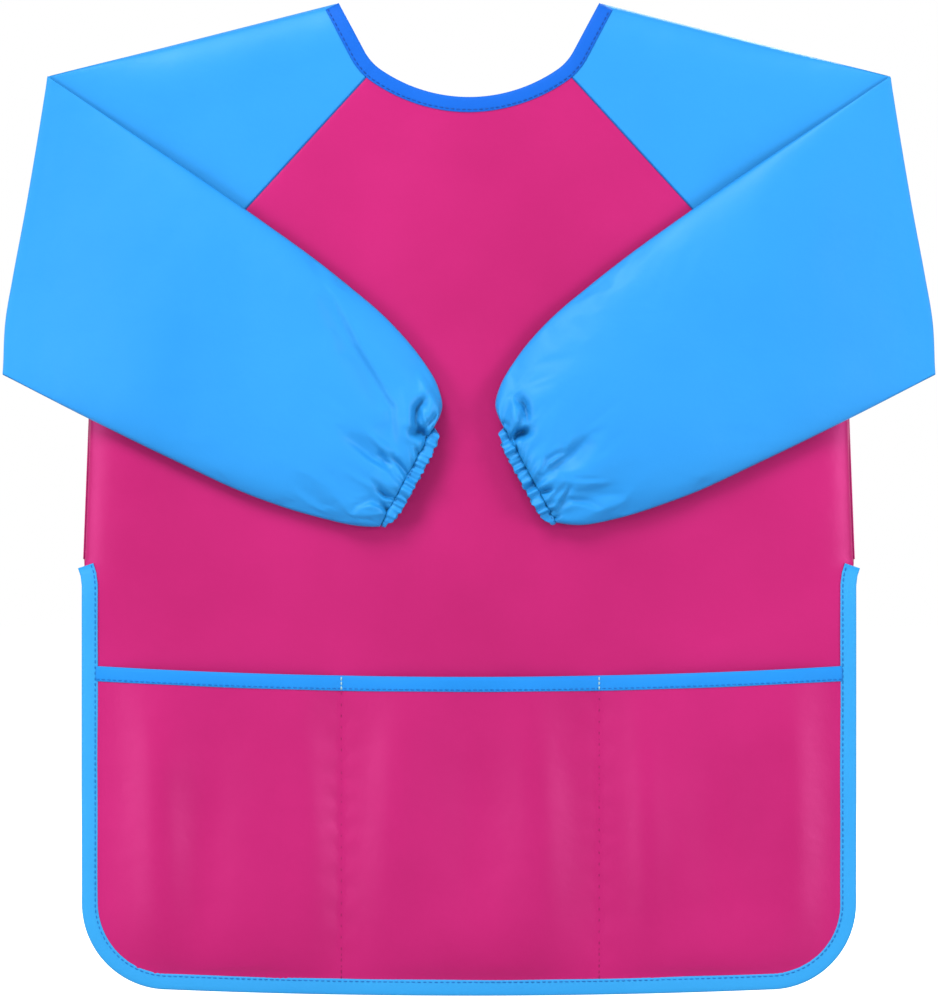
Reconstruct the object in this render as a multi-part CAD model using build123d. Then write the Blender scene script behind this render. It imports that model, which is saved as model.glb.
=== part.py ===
"""Child's artist smock apron with folded raglan sleeves, three hem pockets and a back opening.

The smock hangs upright by its neck opening, front towards -Y, left and right as seen from
the front. Outlines are drawn flat in (x, height above the hem) and made into cloth layers
between two depths. The last step moves everything so that the origin is at the shoulder tops.
"""

from build123d import *
from math import cos, radians, sin
import os

os.makedirs("parts", exist_ok=True)

# Driving dimensions, in millimetres
LENGTH = 560.0  # lowest point of the hem to the shoulder tops
CLOTH = 1.0  # thickness given to a single layer of cloth
TAPE = 0.8  # thickness of one leg of binding, and how far it stands past the cloth edge
BODY_DEPTH = 9.0  # the front and back layers lie this far from the centre plane

HEM_HALF = 217.5  # half width over the side bindings
HEM_TAPE_WIDTH = 8.8
HEM_CORNER_R = 48.5
HEM_CORNER_HEIGHT = 52.0
SLIT_TOP = 246.0  # the side seams end here, and the front hangs free below
SIDE_TAPE_TOP = 232.0  # the hem tape has its full outline up to here
SIDE_TAPE_TIP = [(-208.7, 226), (-213, 245.6), (-220.3, 240.6), (-217.5, 226)]  # flared, cut at a slant
HEM_STITCH_TOP = 228.0
UNDERARM = (-213.5, 348.0)
SHOULDER_NECK = (-74.0, 560.0)
ELBOW_TOP = (-237.8, 518.3)
ELBOW_BOTTOM = (-263.1, 349.9)
RAGLAN_IN_NECK = (-46.6, 530.5)  # the raglan seam's line, carried on into the neck opening

NECK_LOW = 506.5  # height of the front neckline at the centre
NECK_R = 88.0
NECK_SWEEP = 34.3  # degrees of the wide arc each side of the centre
NECK_CORNER_R = 30.0
NECK_SLOPE = 62.0  # degrees, of the straight stretch up to the shoulder
NECK_TAPE_WIDTH = 8.3

POCKET_DEPTH = 9.0
POCKET_MOUTH_SIDE = 186.0
POCKET_MOUTH_CENTRE = 179.5
POCKET_TAPE_WIDTH = 8.3
POCKET_SLOPE = 8.0  # the bulge of a pocket is this much smaller at its front, all round
DIVIDERS = (-72.0, 73.4)
DIVIDER_HALF = 2.0

FOREARM_TOP = [(-126.2, 443.4), (-71.6, 404), (-35.5, 370.2)]  # its upper edge, towards the cuff
FOREARM_LOW = [(-81.1, 268.7), (-118.9, 280), (-167.9, 302.5)]  # its lower edge, towards the elbow
CUFF_TOP = (-15.2, 330.7)
CUFF_LOW = (-46.5, 265.6)
CUFF_ANGLE = -25.7  # the cuff faces this way, below the X axis
CUFF_SPAN = 90.0
TOP_SLANT = 1.25  # height over thickness of the wall along the slanting upper edge
LOW_SLANT = 1.1
FOREARM_BACK = -10.2  # the folded forearm lies in front of the body, between these depths
FOREARM_FRONT = -28.0
FOLD_GAP = 0.3
CASING_WIDTH = 8.0
CASING_WALL = 2.4
ELASTIC_WIDTH = 6.0
ELASTIC_THICKNESS = 0.8

FLAP_FOLD = 56.0  # the back flaps fold along vertical lines this far from the centre
FLAP_GAP = 0.3
OVERLAP_HALF = 18.0
BACK_HEM = 241.0
BACK_CORNER_R = 45.0
OUTER_FLAP_DEPTH = 12.0  # outer face of the flap that lies on top
FASTENER_WIDTH = 20.0
FASTENER_BOTTOM = 450.0
FASTENER_HEIGHT = 42.0
FASTENER_INSET = 0.3

THREAD = 0.3  # how far a line of stitching stands proud
THREAD_WIDTH = 0.7
STITCH_MARGIN = 1.5  # from the edge of a tape to its line of stitching

FAR = 400.0  # larger than any outline, for cutting shapes
OVERRUN = 6.0  # a hollow is cut this far past an open end


# Outlines and layers
def slab(outline, front, back):
    """A flat layer of the outline, from the front depth to the back depth."""
    return Pos(0, back, 0) * extrude(Plane.XZ * outline, back - front)


def rect(x0, z0, x1, z1):
    """A rectangle between two corners."""
    return Pos((x0 + x1) / 2, (z0 + z1) / 2) * Rectangle(x1 - x0, z1 - z0)


def polygon(*points):
    return make_face(Polyline(*points, close=True))


def flip(shape):
    """The same shape on the other side of the smock."""
    return mirror(shape, about=Plane.YZ)


def both_sides(shape):
    return shape + flip(shape)


def neck_region(grow):
    """The neck opening, widened by grow: a wide arc, two tighter corners and straight sides."""
    sweep, slope = radians(NECK_SWEEP), radians(NECK_SLOPE)
    turn = NECK_SLOPE - NECK_SWEEP
    radius = NECK_CORNER_R + grow
    middle = NECK_LOW + NECK_R
    corner_x = (NECK_R - NECK_CORNER_R) * sin(sweep)
    corner_z = middle - (NECK_R - NECK_CORNER_R) * cos(sweep)
    bottom = CenterArc((0, middle), NECK_R + grow, -90 - NECK_SWEEP, 2 * NECK_SWEEP)
    right = CenterArc((corner_x, corner_z), radius, -90 + NECK_SWEEP, turn)
    left = CenterArc((-corner_x, corner_z), radius, -90 - NECK_SLOPE, turn)
    side_length = LENGTH / 4
    top_right = right @ 1 + Vector(side_length * cos(slope), side_length * sin(slope))
    top_left = left @ 0 + Vector(-side_length * cos(slope), side_length * sin(slope))
    sides = Polyline(right @ 1, top_right, top_left, left @ 0)
    return make_face([left, bottom, right, *sides.edges()])


def hem_region(inset, top):
    """Everything above the hem line and below top, drawn in by inset."""
    half = HEM_HALF - inset
    centre = HEM_HALF - HEM_CORNER_R
    radius = HEM_CORNER_R - inset
    low = HEM_CORNER_HEIGHT - radius
    edges = [
        Line((-half, top), (-half, HEM_CORNER_HEIGHT)),
        CenterArc((-centre, HEM_CORNER_HEIGHT), radius, 180, 90),
        ThreePointArc((-centre, low), (0, inset), (centre, low)),
        CenterArc((centre, HEM_CORNER_HEIGHT), radius, 270, 90),
        Line((half, HEM_CORNER_HEIGHT), (half, top)),
        Line((half, top), (-half, top)),
    ]
    return make_face(edges)


def below_mouth(drop):
    """Everything below the curved line of the pocket mouths, lowered by drop."""
    side = POCKET_MOUTH_SIDE - drop
    arc = ThreePointArc((-HEM_HALF, side), (0, POCKET_MOUTH_CENTRE - drop), (HEM_HALF, side))
    box = Polyline(arc @ 1, (HEM_HALF, -FAR), (-HEM_HALF, -FAR), arc @ 0)
    return make_face(arc + box)


def between_raglans():
    """The torso above the side slits, between the two raglan seams."""
    left = [(-HEM_HALF + TAPE, SLIT_TOP), UNDERARM, RAGLAN_IN_NECK]
    return polygon(*left, *[(-x, z) for x, z in reversed(left)])


def upper_sleeve_region(wall):
    """The left sleeve from the neck to the elbow fold, its top and bottom drawn in by wall."""
    past = OVERRUN if wall else 0.0
    return polygon(
        (SHOULDER_NECK[0], SHOULDER_NECK[1] - wall),
        (ELBOW_TOP[0] - past, ELBOW_TOP[1] - wall - past / 4),
        (ELBOW_BOTTOM[0] - past, ELBOW_BOTTOM[1] + wall),
        (UNDERARM[0] + past / 4, UNDERARM[1] + wall),
        RAGLAN_IN_NECK,
    )


def forearm_region(wall):
    """The folded left forearm, its two long edges drawn in by wall."""
    past = OVERRUN if wall else 0.0
    top = wall * TOP_SLANT
    low = wall * LOW_SLANT
    start = (ELBOW_TOP[0] - past, ELBOW_TOP[1] - top + past * 0.6)
    end = (ELBOW_BOTTOM[0] - past, ELBOW_BOTTOM[1] + low + past * 0.5)
    upper = Spline(*[(x, z - top) for x, z in FOREARM_TOP], (CUFF_TOP[0], CUFF_TOP[1] - top / 2))
    lower = Spline((CUFF_LOW[0], CUFF_LOW[1] + low), *[(x, z + low) for x, z in FOREARM_LOW])
    if wall:
        beyond = Vector(past, -past / 3)
        mouth = Polyline(upper @ 1, upper @ 1 + beyond, lower @ 0 + beyond, lower @ 0)
    else:
        mouth = Line(upper @ 1, lower @ 0)
    return make_face([Line(start, upper @ 0), upper, mouth, lower, Line(lower @ 1, end), Line(end, start)])


def cuff_strip(start, end):
    """A strip along the cuff, from start to end millimetres inside its edge."""
    middle = ((CUFF_TOP[0] + CUFF_LOW[0]) / 2, (CUFF_TOP[1] + CUFF_LOW[1]) / 2)
    strip = Pos(-(start + end) / 2, 0) * Rectangle(end - start, CUFF_SPAN)
    return Pos(*middle) * Rot(0, 0, CUFF_ANGLE) * strip


# Body of the smock
neck_cut = neck_region(TAPE)
torso = between_raglans()
front_outline = torso + hem_region(TAPE, SLIT_TOP) - neck_cut
seam_wall = rect(-FAR, SLIT_TOP, 0, UNDERARM[1]) & (torso - Pos(CLOTH, 0) * torso)
front_panel = slab(front_outline, -BODY_DEPTH, -BODY_DEPTH + CLOTH)
front_panel += both_sides(slab(seam_wall, -BODY_DEPTH + CLOTH, 0))

# Pockets: three shallow trays in one cloth, with a flange sewn to the front panel
column_edges = [-HEM_HALF, *DIVIDERS, HEM_HALF]
columns = list(zip(column_edges, column_edges[1:]))


def pocket_cells(grow):
    """The outlines of the three pockets, open upwards, made larger or smaller by grow."""
    cells = []
    for left_edge, right_edge in columns:
        column = rect(left_edge + DIVIDER_HALF - grow, 0, right_edge - DIVIDER_HALF + grow, FAR / 2)
        cells.append(hem_region(HEM_TAPE_WIDTH + CLOTH - grow, FAR) & column)
    return cells


def pocket_bulges(grow):
    """The bulge of every pocket, made larger or smaller by grow."""
    bulges = []
    for base, crown in zip(pocket_cells(grow), pocket_cells(grow - POCKET_SLOPE)):
        back = Pos(0, -BODY_DEPTH, 0) * (Plane.XZ * base)
        front = Pos(0, -BODY_DEPTH - POCKET_DEPTH - grow, 0) * (Plane.XZ * crown)
        bulges.append(loft([back.face(), front.face()]))
    return bulges


def shell_below(outer, inner, drop):
    """The shells between two sets of bulges, cut off along the pocket mouths."""
    cutter = slab(below_mouth(drop), -FAR, 0)
    return [(big - small) & cutter for big, small in zip(outer, inner)]


all_cells = Sketch() + pocket_cells(-CLOTH)
flange_outline = (hem_region(TAPE, FAR) & below_mouth(TAPE)) - all_cells
pocket_panel = slab(flange_outline, -BODY_DEPTH - TAPE, -BODY_DEPTH)
for shell in shell_below(pocket_bulges(0), pocket_bulges(-CLOTH), TAPE):
    pocket_panel += shell

mouth_band = below_mouth(0) - below_mouth(POCKET_TAPE_WIDTH)
band_cutter = slab(mouth_band & hem_region(HEM_TAPE_WIDTH, FAR), -FAR, 0)
band_flange = flange_outline + (mouth_band - all_cells)
pocket_binding = slab(band_flange, -BODY_DEPTH - 2 * TAPE, -BODY_DEPTH) & band_cutter
for shell in shell_below(pocket_bulges(TAPE), pocket_bulges(-CLOTH - TAPE), 0):
    pocket_binding += shell & band_cutter
pocket_binding -= pocket_panel

# Stitching of the pockets
seam_front = -BODY_DEPTH - TAPE
divider_seams = []
bartacks = []
for x in DIVIDERS:
    line = rect(x - THREAD_WIDTH / 2, HEM_TAPE_WIDTH + CLOTH, x + THREAD_WIDTH / 2, FAR)
    divider_seams.append(slab(line & below_mouth(POCKET_TAPE_WIDTH), seam_front - THREAD, seam_front))
    tack = rect(x - THREAD_WIDTH, 0, x + THREAD_WIDTH, FAR) & mouth_band
    bartacks.append(slab(tack, seam_front - TAPE - THREAD, seam_front - TAPE))

stitch_drop = POCKET_TAPE_WIDTH - STITCH_MARGIN
stitch_band = below_mouth(stitch_drop - THREAD_WIDTH) - below_mouth(stitch_drop)
face_depth = -BODY_DEPTH - POCKET_DEPTH - TAPE
pocket_binding_stitch = []
for crown in pocket_cells(-POCKET_SLOPE):
    pocket_binding_stitch.append(slab(stitch_band & crown, face_depth - THREAD, face_depth))

# Hem binding: a folded tape that holds the edges of the front and pocket panels
hem_edge = hem_region(0, FAR) - hem_region(HEM_TAPE_WIDTH, FAR)
hem_outline = (hem_edge & rect(-FAR, -FAR, FAR, SIDE_TAPE_TOP)) + both_sides(polygon(*SIDE_TAPE_TIP))
hem_binding = slab(hem_outline, -BODY_DEPTH - 2 * TAPE, -BODY_DEPTH + CLOTH + TAPE)
hem_binding -= front_panel + pocket_panel + pocket_binding

stitch_inset = HEM_TAPE_WIDTH - STITCH_MARGIN
hem_line = hem_region(stitch_inset - THREAD_WIDTH, FAR) - hem_region(stitch_inset, FAR)
hem_line &= rect(-FAR, -FAR, FAR, HEM_STITCH_TOP)
hem_stitch_depth = -BODY_DEPTH - 2 * TAPE
hem_stitch = slab(hem_line, hem_stitch_depth - THREAD, hem_stitch_depth)

# Upper sleeves
sleeve_outer = upper_sleeve_region(0) - torso - neck_cut
sleeve_hollow = upper_sleeve_region(CLOTH)
left_sleeve_upper = slab(sleeve_outer, -BODY_DEPTH, BODY_DEPTH)
left_sleeve_upper -= slab(sleeve_hollow, -BODY_DEPTH + CLOTH, BODY_DEPTH - CLOTH)
left_sleeve_upper -= slab(rect(-FLAP_FOLD - FLAP_GAP, 0, FAR, 2 * FAR), 0, BODY_DEPTH)

# Back panels, from the side seams to the folds of the flaps
back_region = between_raglans() & rect(-FAR, SLIT_TOP, FAR, 2 * FAR)
back_region += rect(-HEM_HALF + TAPE, BACK_HEM + TAPE, HEM_HALF - TAPE, SLIT_TOP)
left_back_outline = (back_region & rect(-FAR, 0, -FLAP_FOLD - FLAP_GAP, 2 * FAR)) - neck_cut
left_back_panel = slab(left_back_outline, BODY_DEPTH - CLOTH, BODY_DEPTH)
left_back_panel += slab(seam_wall, 0, BODY_DEPTH - CLOTH)

back_hem_band = rect(-HEM_HALF, BACK_HEM, -FLAP_FOLD - FLAP_GAP, BACK_HEM + HEM_TAPE_WIDTH)
left_back_hem_binding = slab(back_hem_band, BODY_DEPTH - CLOTH - TAPE, BODY_DEPTH + TAPE) - left_back_panel

# Neck binding: one tape over both shoulders, as far as the folds of the flaps
shoulder_line = polygon(SHOULDER_NECK, ELBOW_TOP, (ELBOW_TOP[0], 0), (0, 0), (0, LENGTH))
below_shoulders = both_sides(shoulder_line)
neck_band = (neck_region(NECK_TAPE_WIDTH) - neck_region(0)) & below_shoulders
neck_front = slab(neck_band, -BODY_DEPTH - TAPE, -BODY_DEPTH + CLOTH + TAPE)
fixed_band = neck_band & both_sides(rect(-FAR, 0, -FLAP_FOLD - FLAP_GAP, 2 * FAR))
neck_back = slab(fixed_band, BODY_DEPTH - CLOTH - TAPE, BODY_DEPTH + TAPE)
over_shoulder = slab(neck_band - Pos(0, -2 * TAPE) * below_shoulders, -BODY_DEPTH, BODY_DEPTH)
neck_binding = neck_front + neck_back + over_shoulder
sleeves = both_sides(left_sleeve_upper)
neck_binding -= front_panel + sleeves + both_sides(left_back_panel)

neck_inset = NECK_TAPE_WIDTH - STITCH_MARGIN
neck_line = neck_region(neck_inset) - neck_region(neck_inset - THREAD_WIDTH)
neck_stitch = slab(neck_line & below_shoulders, -BODY_DEPTH - TAPE - THREAD, -BODY_DEPTH - TAPE)

# Raglan and side seams
raglan_strip = polygon(
    UNDERARM,
    RAGLAN_IN_NECK,
    (RAGLAN_IN_NECK[0] - THREAD_WIDTH, RAGLAN_IN_NECK[1]),
    (UNDERARM[0] - THREAD_WIDTH, UNDERARM[1]),
)
raglan_line = raglan_strip - neck_region(NECK_TAPE_WIDTH)
raglan_front = slab(raglan_line, -BODY_DEPTH - THREAD, -BODY_DEPTH)
raglan_back = slab(raglan_line, BODY_DEPTH, BODY_DEPTH + THREAD)
seam_strip = Pos(-THREAD, 0) * torso - torso
seam_top = UNDERARM[1] - CLOTH
side_seam = slab(seam_strip & rect(-FAR, SLIT_TOP, 0, seam_top), -THREAD_WIDTH, THREAD_WIDTH)

# Forearm, folded over the front about the elbow crease
away_from_fold = Pos(FOLD_GAP, 0) * polygon(
    ELBOW_TOP, ELBOW_BOTTOM, (0, 0), (FAR, 0), (FAR, 2 * FAR), (ELBOW_TOP[0], 2 * FAR))
forearm_outer = forearm_region(0) & away_from_fold
casing_zone = cuff_strip(-OVERRUN, CASING_WIDTH)
forearm_tube = slab(forearm_outer - casing_zone, FOREARM_FRONT, FOREARM_BACK)
forearm_tube -= slab(forearm_region(CLOTH), FOREARM_FRONT + CLOTH, FOREARM_BACK - CLOTH)

casing = slab(forearm_outer & casing_zone, FOREARM_FRONT, FOREARM_BACK)
casing -= slab(forearm_region(CASING_WALL), FOREARM_FRONT + CASING_WALL, FOREARM_BACK - CASING_WALL)

elastic_start = (CASING_WIDTH - ELASTIC_WIDTH) / 2
elastic_zone = cuff_strip(elastic_start, elastic_start + ELASTIC_WIDTH)
elastic_inset = (CASING_WALL - ELASTIC_THICKNESS) / 2
elastic = slab(forearm_region(elastic_inset) & elastic_zone,
               FOREARM_FRONT + elastic_inset, FOREARM_BACK - elastic_inset)
hollow_inset = elastic_inset + ELASTIC_THICKNESS
elastic -= slab(forearm_region(hollow_inset), FOREARM_FRONT + hollow_inset, FOREARM_BACK - hollow_inset)
casing -= elastic

cuff_strip_end = CASING_WIDTH - THREAD_WIDTH
cuff_line = forearm_region(CASING_WALL) & cuff_strip(cuff_strip_end - THREAD_WIDTH, cuff_strip_end)
cuff_stitch = slab(cuff_line, FOREARM_FRONT - THREAD, FOREARM_FRONT)


# Back flaps: the outer one hangs from the left fold, the inner one from the right
def flap_region(inset):
    """The outer flap from its fold to its free edge, its free edges drawn in by inset."""
    edge = OVERLAP_HALF - inset
    low = BACK_HEM + inset
    radius = BACK_CORNER_R - inset
    fold = -FLAP_FOLD + FLAP_GAP
    corner = CenterArc((OVERLAP_HALF - BACK_CORNER_R, BACK_HEM + BACK_CORNER_R), radius, 270, 90)
    outline = Polyline((edge, BACK_HEM + BACK_CORNER_R), (edge, LENGTH), (fold, LENGTH), (fold, low),
                       (OVERLAP_HALF - BACK_CORNER_R, low))
    return make_face(corner + outline)


def flap_parts(outer_face, tape_side):
    """Cloth, edge binding, neck binding, fastening tape and its stitching of one flap.

    tape_side is +1 where the fastening tape is on the flap's outer face and -1 on its inner face.
    """
    inner_face = outer_face - CLOTH
    cloth = slab(flap_region(TAPE) - neck_cut, inner_face, outer_face)
    neck_zone = neck_region(NECK_TAPE_WIDTH)
    neck_band = (flap_region(0) & neck_zone) - neck_region(0)
    neck_tape = slab(neck_band, inner_face - TAPE, outer_face + TAPE) - cloth
    edge_band = flap_region(0) - flap_region(HEM_TAPE_WIDTH) - neck_zone
    edge_tape = slab(edge_band, inner_face - TAPE, outer_face + TAPE) - cloth
    right = OVERLAP_HALF - HEM_TAPE_WIDTH - FASTENER_INSET
    patch = rect(right - FASTENER_WIDTH, FASTENER_BOTTOM, right, FASTENER_BOTTOM + FASTENER_HEIGHT)
    ring = offset(patch, -STITCH_MARGIN) - offset(patch, -STITCH_MARGIN - THREAD_WIDTH)
    if tape_side > 0:
        fastener = slab(patch, outer_face, outer_face + TAPE)
        ring_stitch = slab(ring, inner_face - THREAD, inner_face)
    else:
        fastener = slab(patch, inner_face - TAPE, inner_face)
        ring_stitch = slab(ring, outer_face, outer_face + THREAD)
    return cloth, edge_tape, neck_tape, fastener, ring_stitch


outer_parts = flap_parts(OUTER_FLAP_DEPTH, -1)
inner_parts = [flip(piece) for piece in flap_parts(BODY_DEPTH, 1)]

# Every piece by name
nodes = {
    "front_panel": front_panel,
    "pocket_panel": pocket_panel,
    "pocket_binding": pocket_binding,
    "pocket_binding_stitch": Compound(children=list(pocket_binding_stitch)),
    "left_divider_seam": divider_seams[0],
    "right_divider_seam": divider_seams[1],
    "left_pocket_bartack": bartacks[0],
    "right_pocket_bartack": bartacks[1],
    "hem_binding": hem_binding,
    "hem_binding_stitch": hem_stitch,
    "neck_binding": neck_binding,
    "neck_binding_stitch": neck_stitch,
}
left_pieces = {
    "sleeve_upper": left_sleeve_upper,
    "back_panel": left_back_panel,
    "back_hem_binding": left_back_hem_binding,
    "front_raglan_seam": raglan_front,
    "back_raglan_seam": raglan_back,
    "side_seam": side_seam,
    "sleeve_forearm": forearm_tube,
    "cuff_casing": casing,
    "cuff_elastic": elastic,
    "cuff_stitch": cuff_stitch,
}
for name, piece in left_pieces.items():
    nodes["left_" + name] = piece
    nodes["right_" + name] = flip(piece)

flap_names = ["back_flap", "flap_edge_binding", "flap_neck_binding"]
for name, outer, inner in zip(flap_names, outer_parts, inner_parts):
    nodes["outer_" + name] = outer
    nodes["inner_" + name] = inner
nodes["hook_tape"], nodes["hook_tape_stitch"] = outer_parts[3:]
nodes["loop_tape"], nodes["loop_tape_stitch"] = inner_parts[3:]

for name, piece in nodes.items():
    export_step(Pos(0, 0, -LENGTH) * piece, f"parts/{name}.step")
    print(name, round(piece.volume))
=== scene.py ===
"""Looks for the artist smock apron: cloth, tapes, stitching, light and camera.

Outlines are kept as (x, height above the hem) in millimetres, as on a sewing pattern, and the
depth functions say how far in front of (-) or behind (+) the centre plane each cloth lies.
Sleeves are made in the left sleeve's coordinates and turned over for the right one.
"""

import math

import bmesh
import bpy
import numpy as np
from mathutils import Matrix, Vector
from mathutils.geometry import delaunay_2d_cdt


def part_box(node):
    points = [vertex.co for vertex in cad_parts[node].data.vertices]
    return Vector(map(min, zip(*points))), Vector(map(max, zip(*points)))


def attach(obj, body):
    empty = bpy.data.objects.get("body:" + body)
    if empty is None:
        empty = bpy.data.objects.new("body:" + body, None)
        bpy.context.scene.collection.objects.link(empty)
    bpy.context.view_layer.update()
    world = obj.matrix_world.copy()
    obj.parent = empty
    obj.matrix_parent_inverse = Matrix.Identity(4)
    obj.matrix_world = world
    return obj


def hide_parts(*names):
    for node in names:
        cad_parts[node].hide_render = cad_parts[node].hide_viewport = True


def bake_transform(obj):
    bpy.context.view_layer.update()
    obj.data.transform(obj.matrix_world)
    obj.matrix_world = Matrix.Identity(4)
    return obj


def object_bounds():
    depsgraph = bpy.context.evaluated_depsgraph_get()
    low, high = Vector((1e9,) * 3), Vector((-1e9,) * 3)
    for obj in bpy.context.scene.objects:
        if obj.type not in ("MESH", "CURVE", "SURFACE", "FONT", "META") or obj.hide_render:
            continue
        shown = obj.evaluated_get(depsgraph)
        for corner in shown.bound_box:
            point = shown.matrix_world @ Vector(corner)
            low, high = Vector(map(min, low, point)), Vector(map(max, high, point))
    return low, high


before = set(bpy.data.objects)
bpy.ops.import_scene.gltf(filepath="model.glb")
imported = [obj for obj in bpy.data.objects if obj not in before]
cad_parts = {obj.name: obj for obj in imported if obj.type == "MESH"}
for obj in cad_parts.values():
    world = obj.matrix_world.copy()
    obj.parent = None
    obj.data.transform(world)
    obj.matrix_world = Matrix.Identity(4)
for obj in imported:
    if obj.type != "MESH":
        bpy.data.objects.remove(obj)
cad_low, cad_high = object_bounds()

MM = 0.001
LENGTH = round(-cad_low.z / MM, 1)  # hem to shoulder tops
HEM_HALF = round(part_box("hem_binding_stitch")[1].x / MM + 7.3, 1)  # half width over the side tapes

# Pattern dimensions, in millimetres
HEM_TAPE = 8.8
HEM_CORNER_R = 48.5
HEM_CORNER_HEIGHT = 52.0
SLIT_TOP = 246.0
SIDE_TAPE_TOP = 231.0
SIDE_TAPE_FLARE = [(-220.4, 241.0), (-218.9, 236.5)]
BACK_HEM = 241.0
BACK_CORNER_R = 45.0
UNDERARM = (-213.5, 348.0)
SHOULDER_NECK = (-74.0, 560.0)
ELBOW_TOP = (-237.8, 518.3)
ELBOW_BOTTOM = (-263.1, 349.9)
ELBOW_BOW = [(-243.4, 482.8), (-250.1, 443.4), (-257.5, 404.0), (-261.4, 381.4)]
RAGLAN_IN_NECK = (-46.6, 530.5)
NECK_LOW, NECK_R, NECK_SWEEP, NECK_CORNER_R, NECK_SLOPE = 506.5, 88.0, 34.3, 30.0, 62.0
NECK_TAPE = 8.3
POCKET_SIDE, POCKET_CENTRE = 186.0, 179.5
POCKET_TAPE = 8.3
DIVIDERS = (-72.0, 73.4)
FOREARM_TOP = [(-126.2, 443.4), (-71.6, 404.0), (-45.6, 381.4), (-27.0, 358.9), (-17.5, 342.0),
               (-15.4, 331.0), (-18.0, 323.5)]
FOREARM_LOW = [(-214.1, 325.1), (-167.9, 302.5), (-118.9, 280.0), (-81.1, 268.7), (-60.0, 265.8)]
CUFF_EDGE = ((-46.0, 265.5), (-17.5, 318.0))
CASING = 6.5  # width of the cuff's casing
FLAP_FOLD, OVERLAP = 56.0, 18.0
FASTENER = (20.0, 42.0, 450.0)  # width, height and lower edge of the hook and loop tapes
CLOTH = 0.4
TAPE_CATCH = 1.2  # a cloth ends this far inside the fold of its tape
SEWN_IN = 1.4  # tapes are sewn on this far from their inner edge


# Numbers and curves
def smooth(t):
    """Rises from 0 to 1, level at both ends."""
    t = np.clip(t, 0, 1)
    return t * t * (3 - 2 * t)


def rounded(t):
    """Rises from 0 to 1 like a quarter circle."""
    t = np.clip(t, 0, 1)
    return np.sqrt(np.maximum(0, 1 - (1 - t) ** 2))


def unit(vectors):
    """The vectors, each made 1 long."""
    return vectors / np.maximum(np.linalg.norm(vectors, axis=-1, keepdims=True), 1e-9)


def travel(points):
    """Distance along a line at each of its points."""
    p = np.asarray(points, float)
    return np.concatenate([[0], np.cumsum(np.linalg.norm(np.diff(p, axis=0), axis=1))])


def along(points, distances):
    """The points at these distances along a line."""
    p = np.asarray(points, float)
    s = travel(p)
    return np.column_stack([np.interp(distances, s, p[:, i]) for i in range(p.shape[1])])


def resample(points, step):
    """Evenly spaced points along a line, both ends kept."""
    total = travel(points)[-1]
    return along(points, np.linspace(0, total, max(2, int(round(total / step)) + 1)))


def spline(points, step=1.0):
    """A smooth curve through the points."""
    p = np.asarray(points, float)
    s = travel(p)
    slope = np.gradient(p, s, axis=0)
    t = np.linspace(0, s[-1], int(s[-1] / step) + 2)
    i = np.clip(np.searchsorted(s, t, side="right") - 1, 0, len(s) - 2)
    h = (s[i + 1] - s[i])[:, None]
    w = (t - s[i])[:, None] / h
    start, end = p[i], p[i + 1]
    return (start * (1 + 2 * w) * (1 - w) ** 2 + slope[i] * h * w * (1 - w) ** 2
            + end * w * w * (3 - 2 * w) + slope[i + 1] * h * w * w * (w - 1))


def arc(centre, radius, start, end):
    """Points on a circle between two angles, in degrees."""
    angles = np.radians(np.linspace(start, end, max(3, int(abs(end - start) / 2))))
    return np.column_stack([centre[0] + radius * np.cos(angles), centre[1] + radius * np.sin(angles)])


def join(*parts):
    """One line from several, without doubled points."""
    p = np.vstack([np.asarray(q, float).reshape(-1, 2) for q in parts])
    keep = np.concatenate([[True], np.linalg.norm(np.diff(p, axis=0), axis=1) > 0.05])
    return p[keep]


def flip(points):
    """The line on the other side of the smock, run the other way."""
    p = np.asarray(points, float).copy()
    p[:, 0] *= -1
    return p[::-1]


def distance(x, z, line):
    """Distance of each point from a line."""
    best = np.full(np.shape(x), 1e9)
    for (ax, az), (bx, bz) in zip(line, line[1:]):
        dx, dz = bx - ax, bz - az
        t = np.clip(((x - ax) * dx + (z - az) * dz) / (dx * dx + dz * dz), 0, 1)
        best = np.minimum(best, (x - ax - t * dx) ** 2 + (z - az - t * dz) ** 2)
    return np.sqrt(best)


def inside(x, z, outline):
    """Which points lie in a closed outline."""
    result = np.zeros(np.shape(x), bool)
    for (ax, az), (bx, bz) in zip(outline, np.roll(outline, -1, axis=0)):
        if az != bz:
            result ^= ((az > z) != (bz > z)) & (x < (bx - ax) * (z - az) / (bz - az) + ax)
    return result


def ripples(seed, count, shortest, longest):
    """A fixed field of gentle waves of several lengths, from -1 to 1."""
    draw = np.random.default_rng(seed)
    waves = list(zip(draw.uniform(0, math.pi, count), draw.uniform(shortest, longest, count),
                     draw.uniform(0, 2 * math.pi, count)))

    def field(x, z):
        total = np.zeros(np.shape(x))
        for angle, wave, phase in waves:
            total += np.sin(2 * math.pi * (x * math.cos(angle) + z * math.sin(angle)) / wave + phase)
        return np.tanh(total / math.sqrt(count))

    return field


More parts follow.
